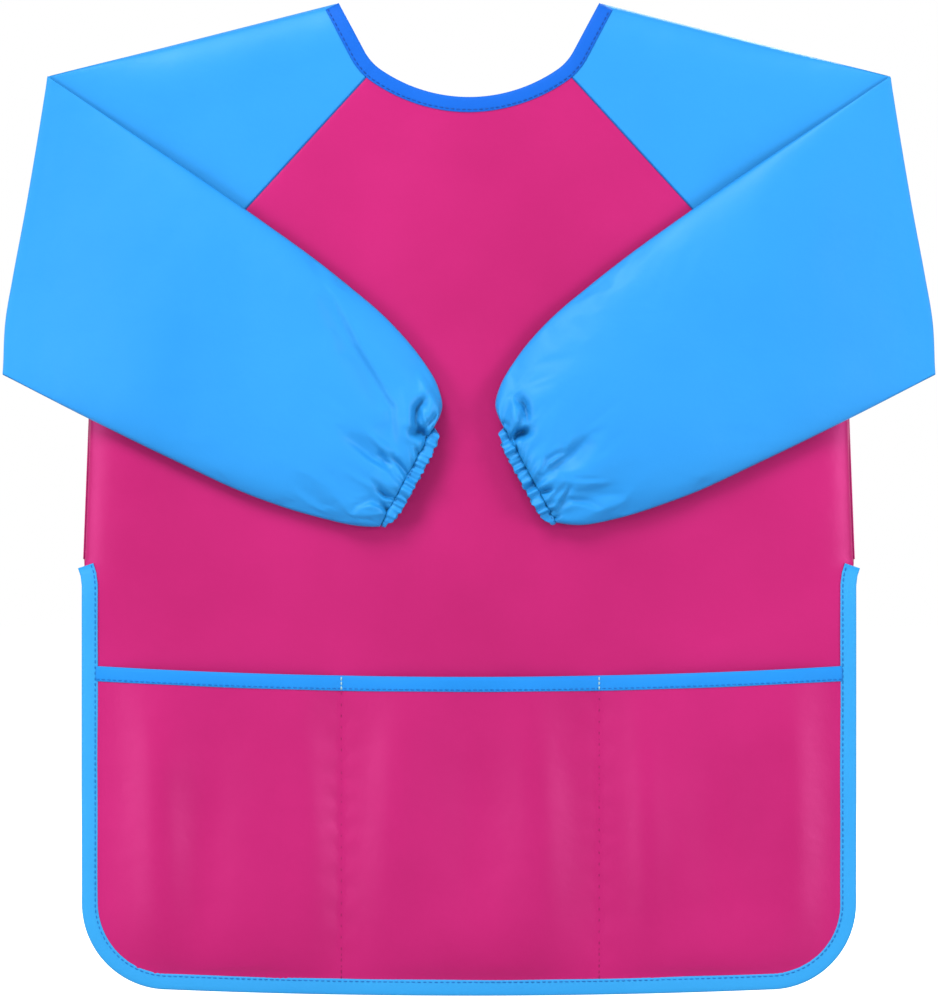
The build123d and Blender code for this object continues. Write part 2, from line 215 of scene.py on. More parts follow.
def fold(x, z, line, height, width, lean=0.0):
    """A soft fold that follows a line and fades at both its ends.

    With lean, its right side, seen along the line, is that much steeper than its left side.
    """
    line = np.asarray(line, float)
    lengths = np.linalg.norm(np.diff(line, axis=0), axis=1)
    best = np.full(np.shape(x), 1e9)
    side = np.zeros(np.shape(x))
    share = np.zeros(np.shape(x))
    start = 0.0
    for (ax, az), (bx, bz), length in zip(line, line[1:], lengths):
        dx, dz = bx - ax, bz - az
        raw = ((x - ax) * dx + (z - az) * dz) / length ** 2
        t = np.clip(raw, 0, 1)
        d = np.hypot(x - ax - t * dx, z - az - t * dz)
        nearer = d < best
        best = np.where(nearer, d, best)
        side = np.where(nearer, np.sign((x - ax) * dz - (z - az) * dx), side)
        share = np.where(nearer, (start + t * length) / lengths.sum(), share)
        start += length
    reach = width * (1 - lean * side)
    return height * np.exp(-(best / reach) ** 2) * np.sin(np.pi * np.clip(share, 0.03, 0.97)) ** 0.7


# Outlines
def shoulder_height(x):
    """Height of the shoulder fold over the point x."""
    slope = (SHOULDER_NECK[1] - ELBOW_TOP[1]) / (SHOULDER_NECK[0] - ELBOW_TOP[0])
    return np.minimum(SHOULDER_NECK[1] + slope * (-np.abs(x) - SHOULDER_NECK[0]), LENGTH)


def neck_edge(grow, step=2.5):
    """The neckline from the left shoulder to the right, moved outwards by grow."""
    sweep, slope = math.radians(NECK_SWEEP), math.radians(NECK_SLOPE)
    middle = NECK_LOW + NECK_R
    corner_r = NECK_R - NECK_CORNER_R
    corner = (corner_r * math.sin(sweep), middle - corner_r * math.cos(sweep))
    bend = arc(corner, NECK_CORNER_R + grow, -90 + NECK_SWEEP, -90 + NECK_SLOPE)
    wide = arc((0, middle), NECK_R + grow, -90, -90 + NECK_SWEEP)
    top = bend[-1]
    for _ in range(8):
        rise = shoulder_height(top[0]) - bend[-1][1]
        top = bend[-1] + rise * np.array([1 / math.tan(slope), 1.0])
    half = join(wide, bend, [top])
    return resample(join(flip(half)[:-1], half), step)


def raglan_x(z):
    """Half width of the torso panels at the raglan seams, at a height."""
    slope = (UNDERARM[0] - RAGLAN_IN_NECK[0]) / (UNDERARM[1] - RAGLAN_IN_NECK[1])
    return -(RAGLAN_IN_NECK[0] + slope * (z - RAGLAN_IN_NECK[1]))


def neck_part(grow, low_x, high_x, step=2.5):
    """The neckline from one x to another."""
    fine = neck_edge(grow, 0.25)
    return resample(fine[(fine[:, 0] >= low_x) & (fine[:, 0] <= high_x)], step)


def raglan_at_neck(grow):
    """x of the left raglan seam where it meets the neckline."""
    fine = neck_edge(grow, 0.25)
    return fine[np.argmax(np.abs(fine[:, 0]) <= raglan_x(fine[:, 1]))][0]


def hem_edge(inset, top, step=3.0):
    """Down the left side, round the hem and up the right side, drawn in by inset."""
    half, centre, radius = HEM_HALF - inset, HEM_HALF - HEM_CORNER_R, HEM_CORNER_R - inset
    low = HEM_CORNER_HEIGHT - radius
    t = np.linspace(-1, 1, 60)
    bottom = np.column_stack([centre * t, inset + (low - inset) * t ** 2])
    left = join([(-half, top)], arc((-centre, HEM_CORNER_HEIGHT), radius, 180, 270))
    return resample(join(left, bottom, flip(left)), step)


def mouth_height(x, drop=0.0):
    """Height of the pockets' mouth above the hem, or of a line that lies drop below it."""
    return POCKET_CENTRE + (POCKET_SIDE - POCKET_CENTRE) * (x / HEM_HALF) ** 2 - drop


def back_edge(inset, step=2.0):
    """The left back's lower edge from the side seam to the corner, and up its free edge to the neck."""
    half, edge, radius = HEM_HALF - 0.8, OVERLAP - inset, BACK_CORNER_R - inset
    corner = arc((OVERLAP - BACK_CORNER_R, BACK_HEM + BACK_CORNER_R), radius, 270, 360)
    top = NECK_LOW - math.sqrt(NECK_R ** 2 - edge ** 2) + NECK_R
    return resample(join([(-half, BACK_HEM + inset)], corner, [(edge, top)]), step)


# Depths
BODY_DEPTH = 8.4
EDGE_ROUND = 26.0  # two sewn or folded layers part within this distance of their edge
CREASE_DEPTH = 8.5  # the upper sleeves come together at this depth in front, at the elbow
CREASE_GAP = 0.4
CREASE_REACH = 75.0
OUTER_LAYER = 3.0  # how much further back the outer back flap lies
FOREARM_REST = 10.35  # the folded forearms lie in front of this depth
FOREARM_THICK = 14.5
POCKET_BULGE = 7.5

# Soft upright waves in each pocket: place across it, drift on the way down, height and width
POCKET_WAVES = [
    [(0.20, 0.05, 4.4, 15), (0.52, -0.07, -5.6, 21), (0.84, 0.05, 3.9, 12)],
    [(0.24, -0.06, 4.2, 14), (0.50, 0.02, -5.4, 20), (0.72, 0.06, 4.7, 15)],
    [(0.16, 0.03, 3.9, 10), (0.42, 0.07, -5.8, 22), (0.82, 0.02, 4.4, 14)],
]
WAVE_STOPS = ((0, 185), (1, 100), (1.6, 10))  # share of its drift that a wave has at each height

SLIT_END = (-HEM_HALF + 0.8, SLIT_TOP)
SIDE_SEAM = np.array([UNDERARM, SLIT_END])
CREASE = np.array([ELBOW_TOP, ELBOW_BOTTOM])
RAGLAN = np.array([UNDERARM, RAGLAN_IN_NECK])
CLOSED_EDGES = [np.array([SHOULDER_NECK, ELBOW_TOP]), np.array([ELBOW_BOTTOM, UNDERARM]), SIDE_SEAM]

slow_waves = ripples(3, 9, 90, 260)
small_waves = ripples(5, 12, 26, 70)


def openness(x, z):
    """0 where the front and back are sewn or folded together, 1 well away from there."""
    d = np.minimum.reduce([distance(-np.abs(x), z, line) for line in CLOSED_EDGES])
    return rounded(d / EDGE_ROUND)


def half_gap(x, z):
    """Half the distance between front and back, and how free the cloth is to wave."""
    free = smooth(distance(-np.abs(x), z, CREASE) / CREASE_REACH)
    opened = openness(x, z)
    seam = 0.35 * np.exp(-(distance(-np.abs(x), z, RAGLAN) / 1.3) ** 2)
    return opened * (CREASE_GAP + (BODY_DEPTH - CREASE_GAP) * free - seam), free, opened * free


def front_depth(x, z):
    """The front panel and the fronts of the upper sleeves."""
    gap, free, calm = half_gap(x, z)
    waves = np.tanh(slow_waves(x, z) + 0.3 * small_waves(x, z))
    return -CREASE_DEPTH * (1 - free) - gap + 0.4 * calm * waves


def back_depth(x, z):
    """The inner back panel and the backs of the upper sleeves."""
    gap, free, calm = half_gap(x, z)
    return -CREASE_DEPTH * (1 - free) + gap + 0.3 * calm * slow_waves(x + 300, z)


def outer_depth(x, z):
    """The back panel whose flap lies on top of the other."""
    away = smooth(distance(x, z, RAGLAN) / 26.0) * smooth((x + 85) / 40)
    return back_depth(x, z) + OUTER_LAYER * away


def pocket_depth(x, z):
    """The pocket panel, which bulges between its seams."""
    x, z = np.asarray(x, float), np.asarray(z, float)
    edges = [-HEM_HALF + HEM_TAPE, *DIVIDERS, HEM_HALF - HEM_TAPE]
    flow = np.sin(np.clip((z - 10) / 175, 0, 1) * math.pi) ** 0.6
    sewn = hem_edge(HEM_TAPE + 0.7, 200.0, 6.0)
    corner = rounded(distance(x, z, sewn) / 34.0) ** 1.4 * inside(x, z, sewn)
    bulge = np.zeros(np.shape(x))
    for (left, right), waves in zip(zip(edges, edges[1:]), POCKET_WAVES):
        u = np.clip((x - left) / (right - left), 0, 1)
        bulge += POCKET_BULGE * np.sin(math.pi * u) ** 0.8 * corner
        for at, drift, height, width in waves:
            line = [(left + (at + k * drift) * (right - left), h) for k, h in WAVE_STOPS]
            wave = fold(x, z, line, height, width)
            bulge += wave * np.sin(math.pi * u) ** 0.5 * corner * (0.4 + 0.6 * flow)
    for i, seam in enumerate(DIVIDERS):
        off = x - seam
        pucker = np.sin(z / 2.6 + 1.4 * np.sin(z / 17.0 + i) + np.sign(off) * 0.9)
        bulge += 0.3 * np.exp(-(off / 7.0) ** 2) * np.clip(np.abs(off) / 2.0, 0, 1) * pucker * corner
    return front_depth(x, z) - 0.5 - np.maximum(bulge, 0) - 0.25 * small_waves(x, z) * corner


# Meshes
def to_frame(points):
    """Pattern millimetres (x, depth, height above the hem) to metres in the frame."""
    return (np.asarray(points, float) - (0, 0, LENGTH)) * MM


def at_depth(line, depth, lift=0.0):
    """A pattern line laid on a depth function, in front of it by -lift or behind it by +lift."""
    p = np.asarray(line, float)
    return np.column_stack([p[:, 0], depth(p[:, 0], p[:, 1]) + lift, p[:, 1]])


def make(name, points, faces, material, smooth_shading=True):
    """A mesh object from points in pattern millimetres."""
    mesh = bpy.data.meshes.new(name)
    mesh.from_pydata(to_frame(points).tolist(), [], [[int(i) for i in f] for f in faces])
    mesh.materials.append(material)
    if smooth_shading:
        mesh.shade_smooth()
    mesh.update()
    obj = bpy.data.objects.new(name, mesh)
    bpy.context.scene.collection.objects.link(obj)
    return obj


def tidy(obj, weld=None):
    """Welds points that meet, if asked, and turns all faces outwards."""
    b = bmesh.new()
    b.from_mesh(obj.data)
    if weld:
        bmesh.ops.remove_doubles(b, verts=b.verts, dist=weld * MM)
    bmesh.ops.recalc_face_normals(b, faces=b.faces)
    b.to_mesh(obj.data)
    b.free()
    return obj


def face_towards(obj, direction):
    """Turns an open sheet so that most of its faces look along a direction."""
    total = sum((p.normal * p.area for p in obj.data.polygons), Vector())
    if total.dot(Vector(direction)) < 0:
        obj.data.flip_normals()


def fill(outline, spacing):
    """Triangles that fill a closed outline."""
    edge = np.asarray(outline, float)
    ring = np.vstack([edge, edge[:1]])
    turn = np.roll(edge, -1, axis=0) - np.roll(edge, 1, axis=0)
    normal = unit(np.column_stack([-turn[:, 1], turn[:, 0]]))
    area = np.sum(ring[:-1, 0] * ring[1:, 1] - ring[1:, 0] * ring[:-1, 1])
    normal *= 1 if area > 0 else -1
    rows = []
    for inset in (1.2, 3.0):
        p = edge + normal * inset
        rows.append(p[inside(p[:, 0], p[:, 1], edge) & (distance(p[:, 0], p[:, 1], ring) > 0.93 * inset)])
    low, high = edge.min(0), edge.max(0)
    xs, zs = np.meshgrid(np.arange(low[0], high[0], spacing), np.arange(low[1], high[1], spacing * 0.866))
    xs[1::2] += spacing / 2
    grid = np.column_stack([xs.ravel(), zs.ravel()])
    grid = grid[inside(grid[:, 0], grid[:, 1], edge)]
    grid = grid[distance(grid[:, 0], grid[:, 1], ring) > 3.0 + 0.55 * spacing]
    points = np.vstack([edge, *rows, grid])
    got = delaunay_2d_cdt([Vector(p) for p in points], [], [list(range(len(edge)))], 1, 1e-4)
    return np.array([tuple(v) for v in got[0]]), got[2]


def thicken(obj, thickness=CLOTH):
    """Gives a sheet its thickness, on its inner side, for good."""
    modifier = obj.modifiers.new("cloth thickness", "SOLIDIFY")
    modifier.thickness = thickness * MM
    modifier.offset = -1.0
    bpy.context.view_layer.update()
    evaluated = obj.evaluated_get(bpy.context.evaluated_depsgraph_get())
    mesh = bpy.data.meshes.new_from_object(evaluated)
    obj.modifiers.clear()
    obj.data = mesh
    return obj


def sheet_object(name, outline, depth, material, towards, spacing=5.0):
    """A cloth that fills an outline and lies at a depth."""
    flat, faces = fill(outline, spacing)
    obj = tidy(make(name, at_depth(flat, depth), faces, material))
    face_towards(obj, towards)
    return thicken(obj)


def grid_faces(rows, columns, ring=False, first=0):
    """Faces between neighbouring rows of points; with ring, the last column joins the first."""
    faces = []
    for i in range(rows - 1):
        for j in range(columns if ring else columns - 1):
            k = (j + 1) % columns
            faces.append((first + i * columns + j, first + i * columns + k,
                          first + (i + 1) * columns + k, first + (i + 1) * columns + j))
    return faces


def tube(name, lines, material, ring_rows=False):
    """A skin over rows of points, each closed on itself; with ring_rows the last row joins the first."""
    count, around = len(lines), len(lines[0])
    points = np.vstack(lines)
    faces = grid_faces(count, around, ring=True)
    if ring_rows:
        first, last = range(around), range((count - 1) * around, count * around)
        faces += list(zip(last, np.roll(last, -1), np.roll(first, -1), first))
    else:
        faces += [tuple(range(around)), tuple(range((count - 1) * around, count * around))]
    return tidy(make(name, points, faces, material))


TAPE_SECTION = [(1.0, -0.30), (0.985, -0.62), (0.90, -0.78), (0.62, -0.92), (0.30, -0.95), (0.08, -0.80),
                (-0.015, -0.40), (-0.03, 0.0), (-0.015, 0.40), (0.08, 0.80), (0.30, 0.95), (0.62, 0.92),
                (0.90, 0.78), (0.985, 0.62), (1.0, 0.30)]


def left_of(line):
    """The direction to a line's left, at each of its points."""
    t = unit(np.gradient(line, axis=0))
    return np.column_stack([-t[:, 1], t[:, 0]])


def beside(line, amount):
    """The line moved sideways, to its left."""
    p = np.asarray(line, float)
    return p + left_of(p) * amount


def tape(name, line, inward, depth, width, material, half_thickness=0.85, seed=1, shift=0.0):
    """A folded bias tape over a cloth's edge; inward is +1 if the cloth is on the line's left."""
    p = np.asarray(line, float)
    side = left_of(p) * inward
    s = travel(p)
    phase = np.random.default_rng(seed).uniform(0, 6.28, 3)
    wobble = 0.5 * np.sin(s / 11 + phase[0]) + 0.5 * np.sin(s / 27 + phase[1])
    pucker = np.sin(s * 2 * math.pi / 3.4 + phase[2])
    columns = []
    for reach, height in TAPE_SECTION:
        edge = 1.0 if reach > 0.6 else 0.0
        q = p + side * (reach * width * (1 + 0.02 * wobble * edge))[:, None]
        thick = half_thickness * (1 + 0.10 * wobble + 0.12 * pucker * edge)
        columns.append(at_depth(q, depth, shift + height * thick))
    return tube(name, list(np.stack(columns, axis=1)), material)


def stitches(name, points, out, material, length=2.3, gap=0.9, radius=0.24):
    """Sewing stitches along a line of points, each one a short thread that dips at both ends.

    out says which way the cloth's face looks: one direction, or one for each point.
    """
    fine = resample(points, 0.4)
    total = travel(fine)[-1]
    s = travel(points) / travel(points)[-1] * total
    out = np.broadcast_to(np.asarray(out, float), np.shape(points))
    starts = np.arange(0.3, total - length, length + gap)
    steps, sides = 5, 6
    at = starts[:, None] + np.linspace(0, length, steps)
    centre = along(fine, at.ravel())
    up = unit(np.column_stack([np.interp(at.ravel(), s, out[:, i]) for i in range(3)]))
    dip = np.tile(np.array([-0.6, 0.24, 0.44, 0.24, -0.6]) * radius, len(starts))
    centre = centre + up * dip[:, None]
    run = unit(np.gradient(centre.reshape(-1, steps, 3), axis=1)).reshape(-1, 3)
    across = unit(np.cross(run, up))
    thick = radius * np.tile(np.array([0.55, 1, 1, 1, 0.55]), len(starts))[:, None]
    angles = 2 * math.pi * np.arange(sides) / sides
    skin = np.stack([centre + thick * (math.cos(a) * across + math.sin(a) * up) for a in angles], axis=1)
    faces = []
    for i in range(len(starts)):
        first = i * steps * sides
        faces += grid_faces(steps, sides, ring=True, first=first)
        last = first + (steps - 1) * sides
        faces += [tuple(range(first, first + sides)), tuple(range(last, last + sides))]
    return tidy(make(name, skin.reshape(-1, 3), faces, material))


def thread_line(name, points, out, material, radius):
    """A thin round line, such as the ridge of a seam."""
    p = np.asarray(points, float)
    run = unit(np.gradient(p, axis=0))
    up = unit(np.broadcast_to(np.asarray(out, float), p.shape))
    across = unit(np.cross(run, up))
    angles = 2 * math.pi * np.arange(8) / 8
    lines = [p + radius * (math.cos(a) * across + math.sin(a) * up) for a in angles]
    return tube(name, list(np.stack(lines, axis=1)), material)


def place(piece, body, nodes=None):
    """Attaches a piece to a body's empty, or, given a joint, only bakes its transform; hides the CAD nodes
    that it stands for, if any.
    """
    if isinstance(body, str):
        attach(piece, body)
    else:
        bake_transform(piece)
    if nodes:
        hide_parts(*([nodes] if isinstance(nodes, str) else nodes))
    return piece


# Materials
def add_node(nodes, kind, values=(), **settings):
    """A new node with these settings, and these values on its inputs."""
    node = nodes.new(f"ShaderNode{kind}")
    for setting, value in settings.items():
        setattr(node, setting, value)
    for socket, value in values:
        node.inputs[socket].default_value = value
    return node


BAND_LENGTH = 0.314  # length of one band of the wave texture at scale 1
CRUMPLE = 0.35


def cloth_material(name, colour, shade, roughness, gloss, weave=0.55, weave_bump=0.06, sheen=0.0,
                   gloss_tint=(1, 1, 1)):
    """Woven cloth: slow colour drift, fine crossing threads weave millimetres apart and soft crumpling."""
    m = bpy.data.materials.new(name)
    m.use_nodes = True
    nodes, link = m.node_tree.nodes, m.node_tree.links.new
    shader = nodes["Principled BSDF"]
    shader.inputs["Sheen Weight"].default_value = sheen
    shader.inputs["Sheen Roughness"].default_value = 0.4
    shader.inputs["Specular IOR Level"].default_value = gloss
    shader.inputs["Specular Tint"].default_value = (*gloss_tint, 1)
    position = add_node(nodes, "TexCoord").outputs["Object"]
    drift = add_node(nodes, "TexNoise", (("Scale", 7.0), ("Detail", 3.0)))
    ramp = add_node(nodes, "ValToRGB")
    for element, place_on_ramp, tone in zip(ramp.color_ramp.elements, (0.3, 0.7), (shade, colour)):
        element.position = place_on_ramp
        element.color = (*tone, 1)
    link(position, drift.inputs["Vector"])
    link(drift.outputs["Fac"], ramp.inputs["Fac"])
    crossing = add_node(nodes, "Math", operation="MULTIPLY")
    thread = (("Scale", BAND_LENGTH / (weave * MM)), ("Distortion", 0.8), ("Detail", 1.0))
    for i, direction in enumerate(("X", "Z")):
        wave = add_node(nodes, "TexWave", thread, wave_type="BANDS", bands_direction=direction)
        link(position, wave.inputs["Vector"])
        link(wave.outputs["Fac"], crossing.inputs[i])
    tint = add_node(nodes, "Mix", (("Factor", 0.10),), data_type="RGBA", blend_type="MULTIPLY")
    link(ramp.outputs["Color"], tint.inputs[6])
    link(crossing.outputs[0], tint.inputs[7])
    link(tint.outputs[2], shader.inputs["Base Color"])
    creases = add_node(nodes, "TexNoise", (("Scale", 38.0), ("Detail", 4.0), ("Roughness", 0.45)))
    link(position, creases.inputs["Vector"])
    rough = add_node(nodes, "MapRange", (("To Min", roughness - 0.07), ("To Max", roughness + 0.07)))
    link(creases.outputs["Fac"], rough.inputs["Value"])
    link(rough.outputs["Result"], shader.inputs["Roughness"])
    fine = add_node(nodes, "Bump", (("Strength", weave_bump), ("Distance", 0.0002)))
    soft = add_node(nodes, "Bump", (("Strength", CRUMPLE), ("Distance", 0.002)))
    link(crossing.outputs[0], fine.inputs["Height"])
    link(creases.outputs["Fac"], soft.inputs["Height"])
    link(soft.outputs["Normal"], fine.inputs["Normal"])
    link(fine.outputs["Normal"], shader.inputs["Normal"])
    return m


def tape_material(name, colour, shade, gloss):
    """The tight, matt weave of a bias tape."""
    return cloth_material(name, colour, shade, 0.6, gloss, 0.5, 0.2)


def thread_material(name, colour, shade):
    """The fine, deep twist of sewing thread."""
    return cloth_material(name, colour, shade, 0.6, 0.15, 0.35, 0.5)


magenta = cloth_material("magenta_coated_polyester", (0.247, 0.0068, 0.077), (0.208, 0.0047, 0.061),
                         0.43, 0.38, gloss_tint=(1.0, 0.22, 0.6))
sky = cloth_material("sky_blue_polyester", (0.0100, 0.146, 0.385), (0.0075, 0.134, 0.365),
                     0.50, 0.22, gloss_tint=(0.6, 0.85, 1.0))
hem_blue = tape_material("hem_bias_tape", (0.0120, 0.170, 0.380), (0.0095, 0.152, 0.360), 0.14)
mouth_blue = tape_material("pocket_bias_tape", (0.0034, 0.130, 0.380), (0.0026, 0.115, 0.360), 0.12)
neck_blue = tape_material("neck_bias_tape", (0.0016, 0.066, 0.330), (0.0012, 0.056, 0.300), 0.08)
blue_thread = thread_material("blue_thread", (0.004, 0.085, 0.300), (0.003, 0.070, 0.270))
# Painted shade: a darker copy of the blue thread, for the shadow along the neck tapes' rows of stitching.
neck_thread_painted_shade = thread_material("neck_blue_thread_painted_shade", (0.002, 0.040, 0.200), (0.0015, 0.032, 0.180))
pale_thread = thread_material("pale_thread", (0.20, 0.33, 0.36), (0.16, 0.28, 0.32))
pink_thread = thread_material("pink_thread", (0.170, 0.0030, 0.056), (0.150, 0.0026, 0.050))
# Painted shade: a darker copy of the blue thread, standing for the shade in the groove of the raglan seams.
seam_thread_and_groove_shade = thread_material("seam_thread_blue_and_painted_groove_shade", (0.003, 0.055, 0.220), (0.002, 0.045, 0.190))
elastic_white = cloth_material("woven_elastic", (0.30, 0.31, 0.32), (0.26, 0.27, 0.28), 0.7, 0.2, 0.9, 0.6)
hook_material = cloth_material("hook_nylon", (0.005, 0.080, 0.300), (0.004, 0.066, 0.260),
                               0.45, 0.3, 1.2, 0.9)
loop_material = cloth_material("loop_nylon", (0.010, 0.110, 0.330), (0.007, 0.092, 0.290),
                               0.8, 0.15, 0.8, 0.6, sheen=0.4)

# Camera and light
CAMERA_DISTANCE = 6.0  # metres, from the front of the pockets
POCKET_FRONT = 0.015  # about how far forward the pockets bulge, in metres
VIEW_HEIGHT = 0.5634  # metres seen from the top to the bottom of the picture
VIEW_CENTRE = 279.4  # height above the hem at the middle of the picture
camera_data = bpy.data.cameras.new("camera")
camera_data.sensor_width = 36.0
camera_data.lens = camera_data.sensor_width * CAMERA_DISTANCE / VIEW_HEIGHT
camera_data.clip_end = 100.0
camera = bpy.data.objects.new("camera", camera_data)
camera.location = (0, -CAMERA_DISTANCE - POCKET_FRONT, (VIEW_CENTRE - LENGTH) * MM)
camera.rotation_euler = (math.radians(90), 0, 0)
bpy.context.scene.collection.objects.link(camera)
bpy.context.scene.camera = camera
bpy.context.scene.view_settings.view_transform = "Standard"


def area_light(name, location, target, size, power):
    """A round lamp that faces a target."""
    data = bpy.data.lights.new(name, "AREA")
    data.shape = "DISK"
    data.size = size
    data.energy = power
    obj = bpy.data.objects.new(name, data)
    obj.location = location
    aim = Vector(target) - Vector(location)
    obj.rotation_mode = "QUATERNION"
    obj.rotation_quaternion = aim.to_track_quat("-Z", "Y")
    bpy.context.scene.collection.objects.link(obj)
    return obj


middle = (0, 0, -0.28)
area_light("key", (-1.2, -2.6, 2.7), middle, 1.8, 235)
area_light("left_softbox", (-2.9, -2.3, 0.1), middle, 1.4, 85)
area_light("right_softbox", (2.9, -2.3, 0.1), middle, 1.4, 105)
area_light("behind", (1.6, 2.9, 1.6), middle, 1.6, 270)

world = bpy.data.worlds.new("studio")
world.use_nodes = True
world.node_tree.nodes["Background"].inputs["Color"].default_value = (1, 1, 1, 1)
world.node_tree.nodes["Background"].inputs["Strength"].default_value = 1.0
bpy.context.scene.world = world

floor_material = bpy.data.materials.new("pale_floor")
floor_material.use_nodes = True
floor_shader = floor_material.node_tree.nodes["Principled BSDF"]
floor_shader.inputs["Roughness"].default_value = 0.9
floor_shader.inputs["Specular IOR Level"].default_value = 0.0
NEAR_FLOOR, FAR_FLOOR = 0.9, 5.0  # metres; the floor is darker nearer in, where the lights fall on it
floor_nodes, link_floor = floor_material.node_tree.nodes, floor_material.node_tree.links.new
floor_place = add_node(floor_nodes, "TexCoord")
floor_reach = add_node(floor_nodes, "VectorMath", operation="LENGTH")
floor_shade = add_node(floor_nodes, "MapRange", (("From Min", NEAR_FLOOR), ("From Max", FAR_FLOOR),
                                                 ("To Min", 0.55), ("To Max", 1.0)))
link_floor(floor_place.outputs["Object"], floor_reach.inputs[0])
link_floor(floor_reach.outputs["Value"], floor_shade.inputs["Value"])
link_floor(floor_shade.outputs["Result"], floor_shader.inputs["Base Color"])
FLOOR_HALF = 20000.0  # millimetres, like FLOOR_DROP
FLOOR_DROP = 30.0  # how far below the hem it lies
floor_corners = [(x * FLOOR_HALF, y * FLOOR_HALF, -FLOOR_DROP)
                 for x, y in ((-1, -1), (1, -1), (1, 1), (-1, 1))]
floor = make("floor", floor_corners, [(0, 1, 2, 3)], floor_material, False)

# Front panel
seam_at_neck = raglan_at_neck(TAPE_CATCH)
torso_neck = neck_part(TAPE_CATCH, seam_at_neck, -seam_at_neck)
raglan_left = resample([UNDERARM, torso_neck[0]], 3.0)
side_left = resample([SLIT_END, UNDERARM], 3.0)
FORWARD, BACKWARD = (0, -1, 0), (0, 1, 0)
front_outline = join(raglan_left, torso_neck, flip(raglan_left), flip(side_left),
                     hem_edge(TAPE_CATCH, SLIT_TOP - 2)[::-1], side_left[:-1])
front = sheet_object("front_panel_cloth", front_outline, front_depth, magenta, FORWARD)
place(front, "smock_body", "front_panel")

# Pocket panel, its tape and its seams
pocket_top = [(x, mouth_height(x, TAPE_CATCH)) for x in np.linspace(-HEM_HALF + 2, HEM_HALF - 2, 140)]
pocket_low = hem_edge(2.0, POCKET_SIDE - TAPE_CATCH - 0.5)
pocket = sheet_object("pocket_panel_cloth", join(pocket_top, pocket_low[::-1][1:-1]), pocket_depth, magenta,
                      FORWARD, spacing=3.6)
place(pocket, "smock_body", "pocket_panel")

mouth_end = HEM_HALF - HEM_TAPE + 1
mouth = np.array([(x, mouth_height(x)) for x in np.linspace(-mouth_end, mouth_end, 260)])
place(tape("pocket_mouth_tape", mouth, -1, pocket_depth, POCKET_TAPE, mouth_blue, 0.8, seed=11),
      "smock_body", "pocket_binding")
place(stitches("pocket_tape_stitching", at_depth(beside(mouth, -POCKET_TAPE + 1.2), pocket_depth, -0.72),
               FORWARD, blue_thread), "smock_body", "pocket_binding_stitch")
for side, x in zip(("left", "right"), DIVIDERS):
    seam = resample([(x, HEM_TAPE), (x, mouth_height(x, POCKET_TAPE))], 2.0)
    place(stitches(f"{side}_divider_stitching", at_depth(seam, pocket_depth, -0.08), FORWARD, pink_thread),
          "smock_body", f"{side}_divider_seam")
    tack = resample([(x, mouth_height(x, POCKET_TAPE)), (x, mouth_height(x, 0.4))], 0.6)
    place(stitches(f"{side}_bartack_stitching", at_depth(tack, pocket_depth, -0.9), FORWARD, pale_thread,
                   2.4, 0.15, 0.45), "smock_body", f"{side}_pocket_bartack")

# Hem tape, with its flared ends
hem_line = join(SIDE_TAPE_FLARE, hem_edge(0, SIDE_TAPE_TOP, 1.6), flip(SIDE_TAPE_FLARE))
place(tape("hem_tape", hem_line, 1, front_depth, HEM_TAPE, hem_blue, 0.95, seed=12, shift=-0.2),
      "smock_body", "hem_binding")
hem_row = beside(resample(hem_line, 1.0), HEM_TAPE - SEWN_IN)
place(stitches("hem_tape_stitching", at_depth(hem_row, front_depth, -1.05), FORWARD, blue_thread),
      "smock_body", "hem_binding_stitch")

# Neck tape of the front, from shoulder to shoulder
place(tape("neck_tape_front", neck_edge(0, 1.6), -1, front_depth, NECK_TAPE, neck_blue, seed=13),
      "smock_body", "neck_binding")
neck_row = beside(neck_edge(0, 1.0), -NECK_TAPE + SEWN_IN)
# The neck stitching's darker thread is painted shade along its row.
place(stitches("neck_tape_stitching", at_depth(neck_row, front_depth, -0.85), FORWARD, neck_thread_painted_shade),
      "smock_body", "neck_binding_stitch")


# Sleeves, in the left sleeve's coordinates
def turned(points, mirror):
    """Left-sleeve points, on the left sleeve (mirror 1) or turned over for the right one (-1)."""
    p = np.array(points, float)
    p[..., 0] *= mirror
    return p


COLUMNS = 112
FOREARM_ROWS = 120
FOLD_ROWS = 7
CREASE_PULL = 1.2  # the fold's roundness, which stands out past the crease line
GATHER_SEEDS = {1: 21, -1: 34}

# Folds pressed into the forearms: (points, height, width, lean) with + towards the front
LEFT_FOLDS = [
    ([(-86.0, 410.0), (-65.1, 365.8), (-56.2, 351.3), (-43.9, 331.3), (-41.5, 308.0)], -4.4, 6.0, -0.6),
    ([(-70.0, 316.5), (-54.0, 303.0), (-44.0, 297.5), (-37.0, 288.0)], -4.0, 4.0, 0.45),
    ([(-57.0, 318.0), (-48.5, 309.0), (-42.0, 303.5), (-36.5, 296.0)], 2.2, 2.6, 0.3),
    ([(-69.0, 270.5), (-63.0, 276.0), (-55.0, 279.3), (-47.0, 275.0), (-44.0, 269.0)], -2.6, 2.3, 0.3),
    ([(-106.0, 281.5), (-86.0, 277.0), (-68.0, 273.0)], -2.6, 8.0, 0.0),
    ([(-56.0, 291.5), (-45.0, 279.0)], -2.4, 2.0, 0.3),
    ([(-21.5, 340.0), (-28.5, 331.5), (-30.0, 317.0)], -3.6, 2.6, 0.3),
    ([(-34.0, 319.0), (-24.5, 315.0)], -5.5, 2.8, 0.0),
    ([(-40.0, 344.0), (-33.0, 326.0), (-36.0, 309.0)], 1.7, 4.0, 0.0),
    ([(-28.0, 350.0), (-22.5, 335.0), (-22.0, 322.0)], 1.8, 2.6, 0.0),
]
